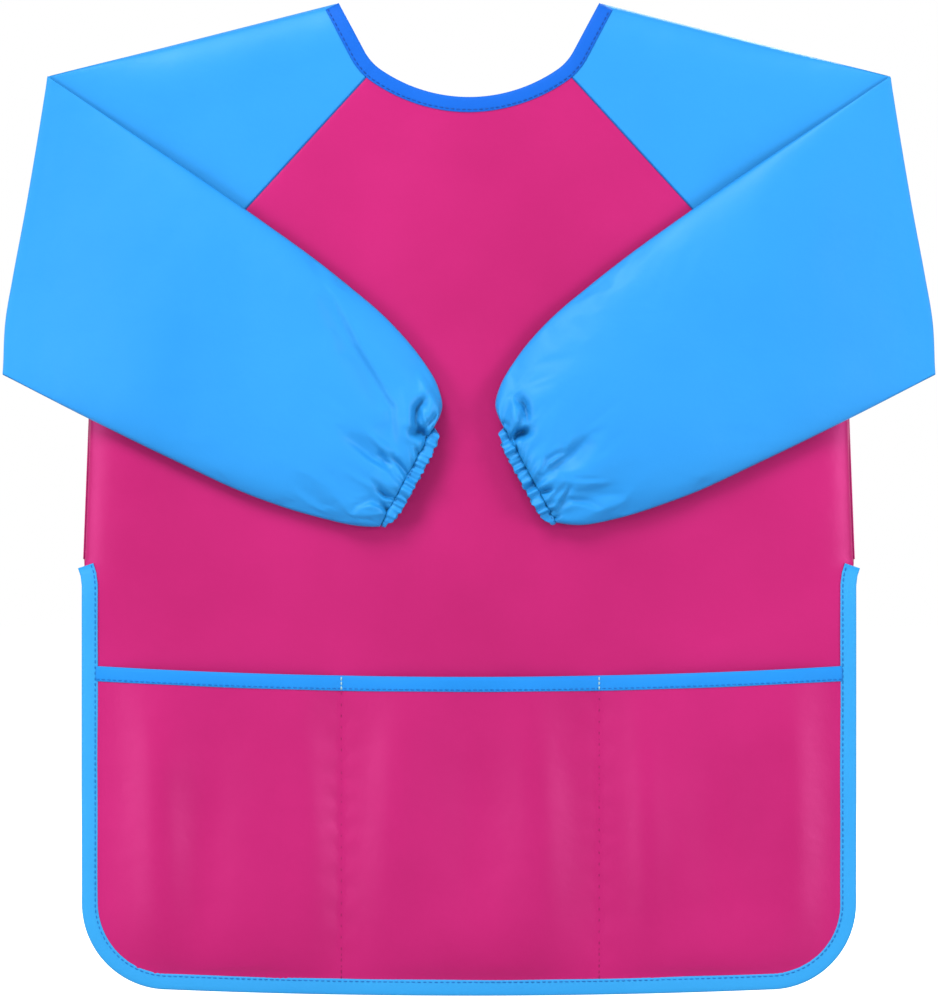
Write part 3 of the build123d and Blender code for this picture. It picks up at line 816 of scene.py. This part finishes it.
RIGHT_FOLDS = [
    ([(-27.0, 341.0), (-30.5, 333.0), (-33.5, 323.0)], -3.8, 2.7, -0.3),
    ([(-35.0, 318.5), (-23.5, 315.0)], -5.5, 2.9, 0.0),
    ([(-24.0, 338.0), (-25.0, 329.0), (-27.5, 320.5)], 1.7, 2.0, 0.0),
    ([(-57.0, 313.0), (-50.5, 304.5), (-44.0, 298.5), (-37.5, 290.0)], 3.2, 2.4, 0.5),
    ([(-68.0, 315.5), (-58.0, 305.0), (-47.0, 296.0)], -4.2, 4.6, -0.3),
    ([(-53.0, 290.0), (-64.0, 288.3), (-80.0, 288.8)], 2.0, 2.4, 0.3),
    ([(-57.0, 284.0), (-72.0, 282.5), (-94.0, 281.0)], -2.8, 5.5, 0.0),
    ([(-49.0, 273.0), (-57.0, 279.0), (-67.0, 278.3), (-77.0, 274.0)], -2.4, 2.1, 0.0),
    ([(-44.0, 277.0), (-56.0, 289.5)], -2.6, 2.1, 0.3),
    ([(-38.5, 284.3), (-48.5, 286.0)], -2.2, 1.8, 0.0),
    ([(-99.0, 426.0), (-72.0, 392.0), (-50.0, 358.0)], -1.6, 9.0, 0.3),
]

# Sharp creases beside the cuffs, pressed in after the cloth has settled
LEFT_CREASES = [
    ([(-25.6, 336.5), (-29.6, 331.0), (-30.4, 324.0), (-27.8, 318.5)], -4.1, 1.6, -0.3),
    ([(-32.0, 317.0), (-26.5, 318.3), (-24.0, 314.5), (-21.5, 311.0)], -5.7, 2.1, 0.0),
    ([(-17.6, 328.6), (-22.5, 323.0), (-25.5, 319.0)], -3.0, 1.1, 0.2),
    ([(-26.0, 331.0), (-25.0, 325.0), (-23.5, 321.0)], 1.9, 1.2, 0.0),
    ([(-30.0, 309.5), (-28.5, 305.0), (-26.0, 302.0)], -3.0, 1.2, 0.0),
    ([(-45.5, 306.0), (-39.5, 299.0), (-34.5, 292.0)], -4.1, 1.5, 0.5),
    ([(-52.0, 306.0), (-47.0, 300.5), (-43.0, 298.5)], -2.7, 1.4, 0.4),
    ([(-50.5, 277.4), (-46.0, 273.5), (-42.5, 269.0)], -3.2, 1.2, 0.3),
    ([(-53.0, 285.5), (-47.0, 281.5), (-41.0, 280.0)], -2.7, 1.2, 0.2),
]
RIGHT_CREASES = [
    ([(-24.5, 338.3), (-31.8, 332.5), (-33.3, 321.0)], -4.1, 1.6, 0.3),
    ([(-34.5, 317.5), (-28.0, 318.0), (-23.0, 311.0)], -5.7, 2.1, 0.0),
    ([(-28.2, 328.0), (-29.9, 324.0), (-27.6, 320.0)], -2.7, 1.1, 0.0),
    ([(-18.4, 324.0), (-23.4, 320.0)], -2.4, 1.0, 0.0),
    ([(-21.8, 309.5), (-25.0, 305.0), (-28.5, 299.0)], -3.0, 1.2, 0.2),
    ([(-26.6, 311.0), (-28.2, 301.0)], -2.4, 1.0, 0.0),
    ([(-55.5, 313.0), (-52.6, 306.4), (-44.7, 301.6), (-41.0, 294.0)], -4.1, 1.7, 0.4),
    ([(-39.0, 283.3), (-47.2, 285.2)], -3.0, 1.1, 0.0),
    ([(-42.0, 272.2), (-48.8, 274.6)], -3.0, 1.0, 0.0),
    ([(-44.3, 267.7), (-51.5, 271.0)], -2.7, 1.0, 0.0),
    ([(-47.5, 272.0), (-52.5, 279.5), (-57.8, 289.0)], -3.2, 1.5, 0.5),
]


def share_across():
    """Where the columns lie between a sleeve's lower edge (0) and its upper edge (1)."""
    v = np.linspace(0, 1, COLUMNS)
    return 0.5 * v + 0.25 * (1 - np.cos(math.pi * v))


def edge_of_fold():
    """The elbow crease, from its lower end to its upper end."""
    line = spline([ELBOW_BOTTOM, *ELBOW_BOW[::-1], ELBOW_TOP])
    line = along(line, share_across() * travel(line)[-1])
    pull = np.sin(math.pi * share_across()) ** 0.3
    return line + np.column_stack([CREASE_PULL * (0.35 + 0.65 * pull), 0 * pull])


cuff_low, cuff_top = (np.array(p) for p in CUFF_EDGE)
cuff_run = unit(cuff_top - cuff_low)
cuff_out = np.array([cuff_run[1], -cuff_run[0]])  # the way out of the cuff
CUFF_DROP = 3.3  # how far the gathered cuff hangs out past its flat outline
seam_low, seam_top = (edge - (CASING - CUFF_DROP) * cuff_out for edge in (cuff_low, cuff_top))

EDGE_HEIGHT = 0.28  # the forearm's two edges lie this far up in its thickness


def section(low, top, resting, thickness, roundness=2.6):
    """One closed row round a sleeve: the front layer from the lower to the upper edge, then the back."""
    s = share_across()
    c = 2 * s - 1
    q = (1 - np.abs(c) ** roundness) ** (1 / 2.1)
    line = low + (top - low) * s[:, None]
    edge = -resting - EDGE_HEIGHT * thickness
    front = np.column_stack([line[:, 0], edge - (1 - EDGE_HEIGHT) * thickness * q, line[:, 1]])
    back = np.column_stack([line[:, 0], edge + EDGE_HEIGHT * thickness * q, line[:, 1]])
    row = unit(np.append(top - low, 0.0))
    sideways = np.sign(c) * np.abs(c) ** 6
    out_front = np.column_stack([sideways * row[0], -q, sideways * row[1]])
    out_back = np.column_stack([sideways * row[0], q, sideways * row[1]])
    points = np.vstack([front, back[-2:0:-1]])
    out = unit(np.vstack([out_front, out_back[-2:0:-1]]))
    return points, out


# Coarse, middling and fine pleats: how many, share of the way round, height and length in millimetres
PLEAT_SIZES = ((9, 0.030, 2.0, 30.0), (17, 0.015, 1.7, 15.0), (26, 0.0105, 1.2, 8.0))


def gathers(seed):
    """Pleats round the cuff: each has a place, a width, a height, a length up the sleeve and a lean."""
    draw = np.random.default_rng(seed)
    pleats = []
    for count, width, height, length in PLEAT_SIZES:
        for i in range(count):
            pleats.append(((i + draw.uniform(-0.36, 0.36)) / count, width * draw.uniform(0.7, 1.3),
                           height * draw.uniform(0.55, 1.35), length * draw.uniform(0.6, 1.5),
                           draw.uniform(-0.0012, 0.0012)))

    def height_at(round_share, back_from_seam):
        """Height of the pleats at a share of the way round, so far up the sleeve from the seam."""
        total = np.zeros(np.shape(round_share))
        for place_round, width, height, length, lean in pleats:
            off = (round_share - place_round - lean * back_from_seam + 0.5) % 1 - 0.5
            spread = width * (1 + back_from_seam / 26.0)
            fading = math.exp(-(max(back_from_seam, 0) / length) ** 1.6)
            total += height * np.exp(-(off / spread) ** 2) * fading
        return total - 1.1 * math.exp(-max(back_from_seam, 0) / 14.0)

    return height_at


ROUND_SHARE = np.concatenate([share_across() / 2, 1 - share_across()[-2:0:-1] / 2])

REST_STEP = 0.45  # past the elbow crease a forearm's back lies this much further forward
CUFF_LIFT = 1.7  # and at the cuff this much more, which leaves room for the gathers behind
FOREARM_EDGE = 0.75  # a forearm's thickness at the elbow crease
OPENING_REACH = 105.0  # how far from the crease it has opened to its full thickness
TUCK, TUCK_REACH = 0.42, 17.0  # the share of it lost at the casing's seam, and how far up that starts
BOW_REACH = 60.0  # how far from the crease its bow still shows


def least_forward(from_crease):
    """How far forward every point of a forearm lies at least."""
    return FOREARM_REST + REST_STEP * smooth(from_crease / 12.0)


def resting(from_crease, from_seam):
    """How far forward a forearm's back lies before the gathers are added."""
    return least_forward(from_crease) + CUFF_LIFT * (1 - smooth(from_seam / 30.0))


def forearm_rows(mirror, folds):
    """Rows of points round the forearm, from the elbow crease to the seam of the casing."""
    pleats = gathers(GATHER_SEEDS[mirror])
    upper = spline([ELBOW_TOP, *FOREARM_TOP, seam_top])
    lower = spline([ELBOW_BOTTOM, *FOREARM_LOW, seam_low])
    progress = np.linspace(0, 1, FOREARM_ROWS)
    progress = 1 - (1 - progress) ** 1.35
    tops = along(upper, progress * travel(upper)[-1])
    lows = along(lower, progress * travel(lower)[-1])
    middle_line = travel((tops + lows) / 2)
    from_seam = middle_line[-1] - middle_line
    crease = edge_of_fold()
    rows = []
    for i, (low, top) in enumerate(zip(lows, tops)):
        opened = smooth(middle_line[i] / OPENING_REACH) ** 0.8
        tuck = 1 - TUCK * (1 - rounded(from_seam[i] / TUCK_REACH))
        thickness = FOREARM_EDGE + (FOREARM_THICK - FOREARM_EDGE) * opened * tuck
        rest = resting(middle_line[i], from_seam[i])
        points, out = section(low, top, rest, thickness)
        bow = 1 - smooth(middle_line[i] / BOW_REACH)
        shift = (crease - (np.array(ELBOW_BOTTOM) + (np.array(ELBOW_TOP) - ELBOW_BOTTOM)
                           * share_across()[:, None])) * bow
        shift = np.vstack([shift, shift[-2:0:-1]])
        points[:, 0] += shift[:, 0]
        points[:, 2] += shift[:, 1]
        front = np.arange(len(points)) < COLUMNS
        x, z = points[:, 0], points[:, 2]
        pressed = sum(fold(x, z, *pressed_fold) for pressed_fold in folds)
        soft = 0.9 * slow_waves(x * mirror + 77, z - 31) + 0.35 * small_waves(x * mirror, z + 55)
        body = np.abs(out[:, 1]) ** 2 * opened
        points[:, 1] -= np.where(front, (pressed + 0.7 * soft) * body, 0)
        points += out * (pleats(ROUND_SHARE, from_seam[i]) * (0.15 + 0.85 * opened))[:, None]
        points[:, 1] = np.minimum(points[:, 1], -least_forward(middle_line[i]))
        rows.append(turned(points, mirror))
    return rows


SIM_SCALE = 0.01  # the cloth is let go at ten times its size in metres, where the solver is steadiest
SIM_FRAMES = 22
PATTERN_CUFF = 116.0  # flat width of the sleeve at the cuff before it is gathered
PATTERN_TAPER = 0.2  # extra flat width for each millimetre further up the sleeve
LOOSE_REACH, LOOSE_FADE = 150.0, 75.0  # the cloth settles freely this near the cuff
LEAST_LIFT = 1.3  # the front of a forearm stays about this far off the cloth under it
FULLNESS = 1.012  # the cloth's width against the outline's, which lets it stand up
EDGE_HOLD = 0.25  # how firmly the sleeve's two edges keep their line while the cloth settles


def faces_inwards(points, faces):
    """Whether the faces of a roundish mesh look inwards, which would turn its pressure round."""
    corners = (points - points.mean(axis=0))[np.array(faces)]
    across = np.cross(corners[:, 2] - corners[:, 0], corners[:, 3] - corners[:, 1])
    return (across * corners.mean(axis=1)).sum() < 0


def settle(rows):
    """Lets the forearm's cloth go: it is wider than its gathered cuff, so it buckles into folds."""
    rows = np.array(rows)
    middle = rows[:, :COLUMNS].mean(axis=1)
    up_sleeve = travel(middle[:, ::2])[-1] - travel(middle[:, ::2])
    near = up_sleeve < LOOSE_REACH + 10
    kept, rows, up_sleeve = rows[~near], rows[near], up_sleeve[near]
    flat = rows.copy()
    for i, row in enumerate(rows):
        low, top = row[0], row[COLUMNS - 1]
        width = np.linalg.norm(top - low)
        wanted = max(FULLNESS * width, PATTERN_CUFF + PATTERN_TAPER * up_sleeve[i])
        across = (row - (low + top) / 2) @ ((top - low) / width)
        flat[i] += np.outer(across * (wanted / width - 1), (top - low) / width)
        flat[i, :, 1] = row[:, 1].mean() + np.where(np.arange(len(row)) < COLUMNS, -0.6, 0.6)
    count = len(rows[0])
    mesh = bpy.data.meshes.new("settling_cloth")
    faces = grid_faces(len(rows), count, ring=True)
    if faces_inwards(rows.reshape(-1, 3), faces):
        faces = [face[::-1] for face in faces]
    mesh.from_pydata((rows.reshape(-1, 3) * SIM_SCALE).tolist(), [], [[int(i) for i in f] for f in faces])
    cloth = bpy.data.objects.new("settling_cloth", mesh)
    bpy.context.scene.collection.objects.link(cloth)
    cloth.shape_key_add(name="Basis")
    pattern = cloth.shape_key_add(name="pattern")
    pattern.data.foreach_set("co", (flat * SIM_SCALE).ravel())
    pattern.value = 0.0
    held = cloth.vertex_groups.new(name="held")
    for i in range(len(rows)):
        if i in (0, len(rows) - 1):
            held.add([i * count + k for k in range(count)], 1.0, "REPLACE")
        else:
            held.add([i * count, i * count + COLUMNS - 1], EDGE_HOLD, "REPLACE")
    cloth.modifiers.new("cloth", "CLOTH")
    modifier = cloth.modifiers["cloth"]
    settings = modifier.settings
    settings.quality = 6
    settings.mass = 0.3
    settings.air_damping = 4.0
    settings.tension_stiffness = 40.0
    settings.compression_stiffness = 40.0
    settings.shear_stiffness = 12.0
    settings.bending_stiffness = 0.25
    settings.tension_damping = 8.0
    settings.compression_damping = 8.0
    settings.shear_damping = 8.0
    settings.vertex_group_mass = "held"
    settings.pin_stiffness = 1.0
    settings.use_dynamic_mesh = False
    settings.rest_shape_key = pattern
    settings.effector_weights.gravity = 0.0
    settings.use_pressure = True
    settings.uniform_pressure_force = 0.5
    modifier.collision_settings.use_collision = False
    modifier.collision_settings.use_self_collision = False
    modifier.point_cache.frame_start = 1
    modifier.point_cache.frame_end = SIM_FRAMES
    for number in range(1, SIM_FRAMES + 1):
        bpy.context.scene.frame_set(number)
    result = cloth.evaluated_get(bpy.context.evaluated_depsgraph_get())
    settled = np.empty(len(rows) * count * 3)
    result.data.vertices.foreach_get("co", settled)
    bpy.data.objects.remove(cloth)
    bpy.context.scene.frame_set(1)
    settled = settled.reshape(len(rows), count, 3) / SIM_SCALE
    lift = -FOREARM_REST - REST_STEP - settled[..., 1]
    raised = 0.5 * (lift + np.sqrt(lift ** 2 + 4 * LEAST_LIFT ** 2))
    layer = np.broadcast_to(np.arange(count) < COLUMNS, lift.shape)
    settled[..., 1] = -FOREARM_REST - REST_STEP - np.where(layer, raised, np.maximum(lift, 0.0))
    share = smooth((LOOSE_REACH - up_sleeve) / LOOSE_FADE)[:, None, None]
    return [*kept, *(rows + share * (settled - rows))]


def press(rows, creases, mirror):
    """Presses sharp creases into the front of a forearm."""
    for row in rows:
        x, z = row[:COLUMNS, 0] * mirror, row[:COLUMNS, 2]
        back = row[:, 1].max()
        row[:COLUMNS, 1] -= sum(fold(x, z, *crease) for crease in creases)
        row[:COLUMNS, 1] = np.minimum(row[:COLUMNS, 1], back)
    return rows


def elbow_strip(upper_line, forearm_line, bulge, mirror):
    """Rows that carry one layer of cloth round the elbow fold, from the upper sleeve to the forearm."""
    centre, radius = (upper_line + forearm_line) / 2, (upper_line - forearm_line) / 2
    out = unit(np.array([ELBOW_BOTTOM[1] - ELBOW_TOP[1], ELBOW_TOP[0] - ELBOW_BOTTOM[0]]))
    out = np.array([out[0], 0.0, out[1]])
    rows = []
    for angle in np.linspace(0, math.pi, FOLD_ROWS):
        outwards = out * (bulge * math.sin(angle))[:, None]
        rows.append(turned(centre + radius * math.cos(angle) + outwards, mirror))
    return rows


def sleeve(side, mirror, folds, creases):
    """The whole sleeve as one cloth: front and back of the upper sleeve, the elbow fold and the forearm."""
    crease = edge_of_fold()
    start = raglan_at_neck(TAPE_CATCH)
    neck = neck_part(TAPE_CATCH, -100, start)[::-1]
    outline = join(resample([neck[-1], ELBOW_TOP], 3.0)[:-1], crease[::-1],
                   resample([ELBOW_BOTTOM, UNDERARM], 3.0)[1:], resample([UNDERARM, neck[0]], 3.0)[1:-1],
                   neck[:-1])
    flat, faces = fill(outline, 5.0)
    pieces = []
    for depth in (front_depth, back_depth):
        y = depth(flat[:, 0] * mirror, flat[:, 1])
        pieces.append((turned(np.column_stack([flat[:, 0], y, flat[:, 1]]), mirror), faces))
    rows = forearm_rows(mirror, folds)
    rows = settle(rows)
    rows = [rows[0], *press(rows[1:], creases, mirror)]
    pieces.append((np.vstack(rows), grid_faces(FOREARM_ROWS, len(rows[0]), ring=True)))
    first = turned(rows[0], mirror)
    forearm_front = first[:COLUMNS]
    forearm_back = np.vstack([first[:1], first[COLUMNS:][::-1], first[COLUMNS - 1:COLUMNS]])
    open_share = np.sin(math.pi * share_across()) ** 0.4
    for depth, line, bulge in ((back_depth, forearm_front, 0.35 + 0.85 * open_share),
                               (front_depth, forearm_back, 0.35 + 0.15 * open_share)):
        y = depth(crease[:, 0] * mirror, crease[:, 1])
        upper_line = np.column_stack([crease[:, 0], y, crease[:, 1]])
        strip = elbow_strip(upper_line, line, bulge, mirror)
        pieces.append((np.vstack(strip), grid_faces(FOLD_ROWS, COLUMNS)))
    points, all_faces, base = [], [], 0
    for p, f in pieces:
        points.append(p)
        all_faces += [[base + i for i in face] for face in f]
        base += len(p)
    cloth = tidy(make(f"{side}_sleeve_cloth", np.vstack(points), all_faces, sky), weld=0.06)
    thicken(cloth, 0.3)
    place(cloth, ("smock_body", f"{side}_forearm", (0, -9.15 * MM, 0), (0, -10.15 * MM, 0)),
          [f"{side}_sleeve_upper", f"{side}_sleeve_forearm"])


CUFF_REST = FOREARM_REST + REST_STEP + CUFF_LIFT
CUFF_THICK = 0.58 * FOREARM_THICK
CORNER_TUCK = 0.7  # how much shorter the casing gets at both ends of the flat cuff


def casing(side, mirror):
    """The cuff's casing: a gathered channel with a frilled edge, and the elastic inside it."""
    pleats = gathers(GATHER_SEEDS[mirror])
    draw = np.random.default_rng(GATHER_SEEDS[mirror] + 1)
    phase = draw.uniform(0, 6.28, 3)
    around = 2 * math.pi * ROUND_SHARE
    frill = (0.5 * np.sin(23 * around + phase[0]) + 0.35 * np.sin(37 * around + phase[1])
             + 0.3 * np.sin(11 * around + phase[2]))
    out3 = np.array([cuff_out[0], 0.0, cuff_out[1]])
    corner = np.abs(2 * ((ROUND_SHARE * 2) % 1) - 1) ** 7
    profile = [(-0.6, 0.0), (0.4, 0.75), (1.8, 1.1), (3.6, 1.15), (5.2, 0.9), (6.2, 0.95), (6.6, 0.7),
               (6.3, 0.35), (5.2, 0.1), (3.6, -0.25), (1.8, -0.3), (0.2, -0.5)]
    rows = []

    def cuff_row(reach, lift, crimp, frilled=0.8):
        """One row round the casing: so far out of the cuff, so far off its middle, and so much crimped."""
        low, top = seam_low + reach * cuff_out, seam_top + reach * cuff_out
        points, out = section(low, top, CUFF_REST, CUFF_THICK)
        edge = smooth((reach - 2.5) / 3.0)
        off = (crimp * pleats(ROUND_SHARE, 0.0) + 0.55 * frill * edge) * (1 - 0.6 * corner)
        points = points + out * (lift - 0.4 + off)[:, None]
        points = points + out3 * (frilled * frill * edge - CORNER_TUCK * max(reach, 0) * corner)[:, None]
        nested = FOREARM_REST + 0.5 * (1.2 - lift)
        points[:, 1] = np.minimum(points[:, 1], -nested)
        return turned(points, mirror)

    for reach, lift in profile:
        rows.append(cuff_row(reach, lift, 1.25 if lift > 0.3 else 0.75))
    ring = tube(f"{side}_cuff_casing_cloth", rows, sky, ring_rows=True)
    place(ring, f"{side}_forearm", f"{side}_cuff_casing")

    across_band = (0.9, 2.4, 3.8, 5.0)
    band = [cuff_row(reach, 0.45, 0.95, 0.0) for reach in across_band]
    band += [cuff_row(reach, 0.25, 0.95, 0.0) for reach in across_band[::-1]]
    place(tube(f"{side}_cuff_elastic_band", band, elastic_white, ring_rows=True),
          f"{side}_forearm", f"{side}_cuff_elastic")
    low, top = seam_low + 0.9 * cuff_out, seam_top + 0.9 * cuff_out
    points, out = section(low, top, CUFF_REST, CUFF_THICK)
    points = points + out * (0.62 + 0.75 * pleats(ROUND_SHARE, 0.0))[:, None]
    points[:, 1] = np.minimum(points[:, 1], -FOREARM_REST)
    loop = np.vstack([turned(points, mirror), turned(points[:1], mirror)])
    looks = np.vstack([out, out[:1]]) * (mirror, 1, 1)
    place(stitches(f"{side}_cuff_stitching", loop, looks, blue_thread, 1.7, 0.7, 0.2),
          f"{side}_forearm", f"{side}_cuff_stitch")


for side, mirror, folds, creases in (("left", 1, LEFT_FOLDS, LEFT_CREASES),
                                     ("right", -1, RIGHT_FOLDS, RIGHT_CREASES)):
    sleeve(side, mirror, folds, creases)
    casing(side, mirror)

# Seams
for side, mirror in (("left", 1), ("right", -1)):
    raglan = resample([UNDERARM, neck_part(NECK_TAPE, -100, raglan_at_neck(NECK_TAPE))[-1]], 2.0)
    raglan[:, 0] *= mirror
    back = back_depth if mirror < 0 else outer_depth
    for layer, depth, out in (("front", front_depth, FORWARD), ("back", back, BACKWARD)):
        on_cloth = at_depth(raglan, depth, 0.08 * out[1])
        # The raglan seam's ridge is real thread; its darker tone is painted shade for the seam's groove.
        line = thread_line(f"{side}_{layer}_raglan_line", on_cloth, out, seam_thread_and_groove_shade, 0.32)
        place(line, "smock_body", f"{side}_{layer}_raglan_seam")
    seam = resample([(UNDERARM[0] * mirror, UNDERARM[1] - 1), (SIDE_SEAM[1][0] * mirror, SLIT_TOP)], 2.0)
    seam[:, 0] += 0.15 * np.sign(seam[:, 0])
    seam = np.column_stack([seam[:, 0], 0 * seam[:, 0], seam[:, 1]])
    place(thread_line(f"{side}_side_seam_line", seam, (-mirror, 0, 0), magenta, 0.4),
          "smock_body", f"{side}_side_seam")


# Back: on each side one cloth, from the side seam to the free edge of its flap
def back_side(side, mirror, flap, depth):
    """Cloth, tapes and stitching of one half of the back, in the left half's coordinates."""
    def mirrored(x, z):
        return depth(x * mirror, z)

    joint = ("smock_body", f"{flap}_flap", (-(FLAP_FOLD + 10) * mirror * MM, 0, 0),
             (-(FLAP_FOLD - 10) * mirror * MM, 0, 0))
    neck = neck_part(TAPE_CATCH, raglan_at_neck(TAPE_CATCH), OVERLAP - TAPE_CATCH)
    edge = back_edge(TAPE_CATCH)
    outline = join(resample([UNDERARM, neck[0]], 3.0), neck, edge[::-1][1:],
                   resample([(SLIT_END[0], BACK_HEM + TAPE_CATCH), SLIT_END], 3.0),
                   resample([SLIT_END, UNDERARM], 3.0)[:-1])
    flat, faces = fill(outline, 3.2)
    points = turned(at_depth(flat, mirrored), mirror)
    cloth = tidy(make(f"{side}_back_cloth", points, faces, magenta))
    face_towards(cloth, BACKWARD)
    place(thicken(cloth), joint, [f"{side}_back_panel", f"{flap}_back_flap"])

    def bind(edge, line, sewn, inward, width, cloth_colour, thread, half_thickness, lift, seed, nodes):
        """A tape over one edge of this half, and the row of stitching along the line sewn."""
        binding = tape(f"{flap}_back_{edge}_tape", line, inward, mirrored, width, cloth_colour,
                       half_thickness, seed=seed + mirror)
        turn_over(binding, mirror)
        row = turned(at_depth(beside(sewn, inward * (width - SEWN_IN)), mirrored, lift), mirror)
        sewing = stitches(f"{flap}_back_{edge}_stitching", row, BACKWARD, thread)
        place(sewing, joint)
        place(binding, joint, nodes)

    free_edge = back_edge(0.0, 1.6)[2:]
    free_edge = free_edge[free_edge[:, 1] < neck_part(NECK_TAPE, -OVERLAP, OVERLAP)[-1][1] + 1.5]
    bind("edge", free_edge, free_edge[2:-2], 1, HEM_TAPE, hem_blue, blue_thread, 0.9, 1.0, 15,
         [f"{side}_back_hem_binding", f"{flap}_flap_edge_binding"])
    # The back neck stitching takes the same darker thread, painted shade along its row.
    bind("neck", neck_part(0, SHOULDER_NECK[0] - 3, OVERLAP, 1.6),
         neck_part(0, SHOULDER_NECK[0], OVERLAP - 2, 1.0), -1, NECK_TAPE, neck_blue, neck_thread_painted_shade,
         0.95, 0.9, 17, f"{flap}_flap_neck_binding")


def turn_over(obj, mirror):
    """Turns a left piece over for the right side."""
    if mirror < 0:
        for v in obj.data.vertices:
            v.co.x = -v.co.x
        obj.data.flip_normals()


def rounded_patch(low_x, low_z, width, height, radius, inset=0.0):
    """The outline of a rounded rectangle."""
    r = radius - inset
    x0, x1 = low_x + radius, low_x + width - radius
    z0, z1 = low_z + radius, low_z + height - radius
    return join(arc((x1, z0), r, -90, 0), arc((x1, z1), r, 0, 90), arc((x0, z1), r, 90, 180),
                arc((x0, z0), r, 180, 270))


def fastener(kind, flap, mirror, face, towards, material):
    """A patch of hook or loop tape on a flap, and the box of stitching round it."""
    width, height, low_z = FASTENER
    low_x = OVERLAP - HEM_TAPE - width
    outline = resample(rounded_patch(low_x, low_z, width, height, 2.0), 1.0)[:-1]
    thickness, spacing = 0.55, 1.15
    steps, wire = 5, 0.09  # points along each small loop or hook, and its radius

    def depth(x, z):
        return back_depth(x * mirror, z) + face

    flat, faces = fill(outline, 1.6)
    bumps = 0.08 * np.sin(flat[:, 0] * 3.0) * np.sin(flat[:, 1] * 3.3)
    sheet = at_depth(flat, depth)
    sheet[:, 1] += towards * (thickness + bumps)
    patch = tidy(make(f"{kind}_tape_patch", turned(sheet, mirror), faces, material))
    face_towards(patch, (0, towards, 0))
    thicken(patch, thickness)
    xs, zs = np.meshgrid(np.arange(low_x + 1.4, low_x + width - 1.2, spacing),
                         np.arange(low_z + 1.4, low_z + height - 1.2, spacing))
    xs[1::2] += 0.5
    draw = np.random.default_rng(40 + mirror)
    points = [np.array([v.co for v in patch.data.vertices]) / MM + (0, 0, LENGTH)]
    all_faces = [list(p.vertices) for p in patch.data.polygons]
    base = len(points[0])
    for x, z in zip(xs.ravel(), zs.ravel()):
        turn = draw.uniform(0, math.pi) if kind == "loop" else 0.0
        span = 0.42 if kind == "loop" else 0.30
        angles = np.linspace(0, math.pi * (1.0 if kind == "loop" else 0.8), steps)
        root = depth(np.array([x]), np.array([z]))[0] + towards * thickness
        line = np.column_stack([x + span * np.cos(angles) * math.cos(turn),
                                root + towards * 0.5 * np.sin(angles),
                                z + span * np.cos(angles) * math.sin(turn)])
        run = unit(np.gradient(line, axis=0))
        side_way = unit(np.cross(run, (math.sin(turn), 0.3, -math.cos(turn) + 1e-3)))
        up = np.cross(side_way, run)
        ring = [line + wire * (math.cos(a) * side_way + math.sin(a) * up) for a in (0, 2.1, 4.2)]
        points.append(turned(np.stack(ring, axis=1).reshape(-1, 3), mirror))
        all_faces += grid_faces(steps, len(ring), ring=True, first=base)
        base += steps * len(ring)
    merged = make(f"{kind}_tape_patch_mesh", np.vstack(points), all_faces, material)
    patch.data = merged.data
    bpy.data.objects.remove(merged)
    place(patch, f"{flap}_flap", f"{kind}_tape")
    row = rounded_patch(low_x, low_z, width, height, 2.0, 1.5)
    row = np.vstack([row, row[:1]])
    line = at_depth(row, depth, -towards * CLOTH)
    place(stitches(f"{kind}_tape_stitching", turned(line, mirror), (0, -towards, 0), pink_thread),
          f"{flap}_flap", f"{kind}_tape_stitch")


back_side("left", 1, "outer", outer_depth)
back_side("right", -1, "inner", back_depth)
fastener("hook", "outer", 1, OUTER_LAYER - CLOTH, -1, hook_material)
fastener("loop", "inner", -1, 0.0, 1, loop_material)
